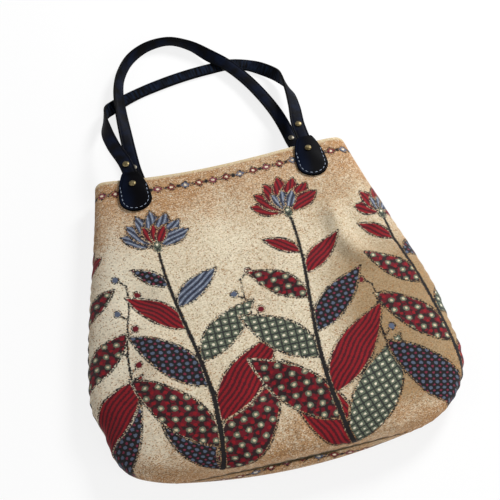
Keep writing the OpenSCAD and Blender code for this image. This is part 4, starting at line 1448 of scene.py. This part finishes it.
# Pieces
front_line = strap_line(front, FRONT_ROUTE, FRONT_TAB_X, TAB_SHIFT)
back_line = strap_line(back, BACK_ROUTE, BACK_TAB_X)
front_cloth = panel("front_cloth", front, FRONT_DESIGN, TAPESTRY)
back_cloth = panel("back_cloth", back, BACK_DESIGN, TAPESTRY)
front_lining_cloth = lining("front_lining_cloth", front, LINING)
back_lining_cloth = lining("back_lining_cloth", back, LINING)
front_handle = strap("front_handle", front_line, STRAP_LEATHER, creased=True)
back_handle = strap("back_handle", back_line, STRAP_LEATHER, creased=False)
tab_pieces = {node: tab(node + "_leather", face, x, TAB_LEATHER) for node, (face, x) in TABS.items()}
tab_stitches = stitches("tab_stitches", [stitch_line(face, x) for face, x in TABS.values()], THREAD)

# Rivets: those of the tabs hold tab, strap and hem, those of the straps only the strap
tail = len(TAIL_STEPS)
tab_spots = [seat(face, x, 0) for face, x in TABS.values()]
strap_spots = [strap_place(line, i) for line in (front_line, back_line)
               for i in (tail, len(line) - 1 - tail)]
tab_cap_z = STRAP_T / 2 + STRAP_SEAT + TAB_T + SEAT_GAP
tab_grip = HEM_T + 2 * STRAP_SEAT + STRAP_T + TAB_T + 2 * SEAT_GAP
strap_cap_z, strap_grip = STRAP_T / 2 + STRAP_CAP_GAP, STRAP_T + 2 * STRAP_CAP_GAP
tab_rivet_caps = rivets("tab_rivet_caps", tab_spots, tab_cap_z, tab_grip, BRASS)
strap_rivet_caps = rivets("strap_rivet_caps", strap_spots, strap_cap_z, strap_grip, BRASS)

for made, slot, nodes in (
        (front_cloth, "tapestry", ("front_panel",)), (back_cloth, "tapestry", ("back_panel",)),
        (front_lining_cloth, "lining", ("front_lining",)), (back_lining_cloth, "lining", ("back_lining",)),
        (front_handle, "leather", ("front_strap",)), (back_handle, "leather", ("back_strap",)),
        *((made, "leather", (node,)) for node, made in tab_pieces.items()),
        (tab_stitches, "leather", ()), (tab_rivet_caps, "antique_brass", ("tab_rivets",)),
        (strap_rivet_caps, "antique_brass", ("strap_rivets",))):
    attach(made, "root")
    if nodes:
        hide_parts(*nodes)


# Studio in metres: floor, lamps and world; light of the floor's white close by and far away
WHITE, FLOOR_GREY = (1, 1, 1, 1), (0.9, 0.9, 0.9, 1)
FLOOR_REACH, FLOOR_WHITE, FLOOR_FADE, WORLD_LIGHT = 3.0, 0.82, (0.6, 1.5), 0.2
SEEN_RAYS = ("Is Camera Ray", "Is Glossy Ray", "Is Transmission Ray")
LAMP_AIM = Vector((0, -0.05, 0))

# Lamps: place, size and power
LAMPS = {
    "key": ((1.15, 1.0, 1.15), 0.6, 42),
    "fill": ((0.9, -1.4, 0.75), 1.2, 13),
    "left_fill": ((-1.2, -0.3, 0.85), 1.2, 3.5),
}


def floor_finish():
    """Pale floor that keeps a soft shadow: mostly white where it is seen, all white far away."""
    floor = Finish("pale_floor", {"Base Color": FLOOR_GREY, "Roughness": 0.9})
    camera_ray, glossy_ray, clear_ray = [floor.node("ShaderNodeLightPath", out=ray) for ray in SEEN_RAYS]
    away = floor.node("ShaderNodeVectorMath", {"operation": "LENGTH"}, {0: floor.here()}, out="Value")
    share = FLOOR_WHITE + (1 - FLOOR_WHITE) * away.ramp(*FLOOR_FADE)
    white = floor.node("ShaderNodeEmission", None, {"Color": WHITE, "Strength": 1.0})
    mixed = floor.node("ShaderNodeMixShader", None, {
        0: camera_ray.most(glossy_ray).most(clear_ray) * share,
        1: floor.shader.outputs[0], 2: white})
    feed(floor.tree, floor.tree.nodes["Material Output"].inputs["Surface"], mixed.socket)
    return floor.material


def set_floor():
    corners = np.array([(-1, -1, 0), (1, -1, 0), (1, 1, 0), (-1, 1, 0)]) * FLOOR_REACH
    floor = piece("floor", corners, [[0, 1, 2, 3]], floor_finish(), smooth=False)


def set_lamp(name, spot, size, power):
    lamp = bpy.data.lights.new(name, "AREA")
    lamp.shape, lamp.size, lamp.energy = "DISK", size, power
    made = bpy.data.objects.new(name, lamp)
    bpy.context.scene.collection.objects.link(made)
    made.location = spot
    made.rotation_euler = (Vector(spot) - LAMP_AIM).to_track_quat("Z", "Y").to_euler()


def set_world():
    """A world that is white where it is seen and dim as a light."""
    world = bpy.data.worlds.new("studio")
    bpy.context.scene.world = world
    world.use_nodes = True
    tree = world.node_tree
    seen, *others = [add_node(tree, "ShaderNodeLightPath").outputs[ray] for ray in SEEN_RAYS]
    for ray in others:
        seen = add_node(tree, "ShaderNodeMath", {"operation": "MAXIMUM"}, {0: seen, 1: ray}).outputs[0]
    strength = add_node(tree, "ShaderNodeMapRange", None, {
        "Value": seen, "To Min": WORLD_LIGHT, "To Max": 1.0})
    feed(tree, tree.nodes["Background"].inputs["Color"], WHITE)
    feed(tree, tree.nodes["Background"].inputs["Strength"], strength.outputs[0])


set_floor()
set_world()
for lamp_name, (spot, size, power) in LAMPS.items():
    set_lamp(lamp_name, spot, size, power)
bpy.context.scene.view_settings.view_transform = "Standard"
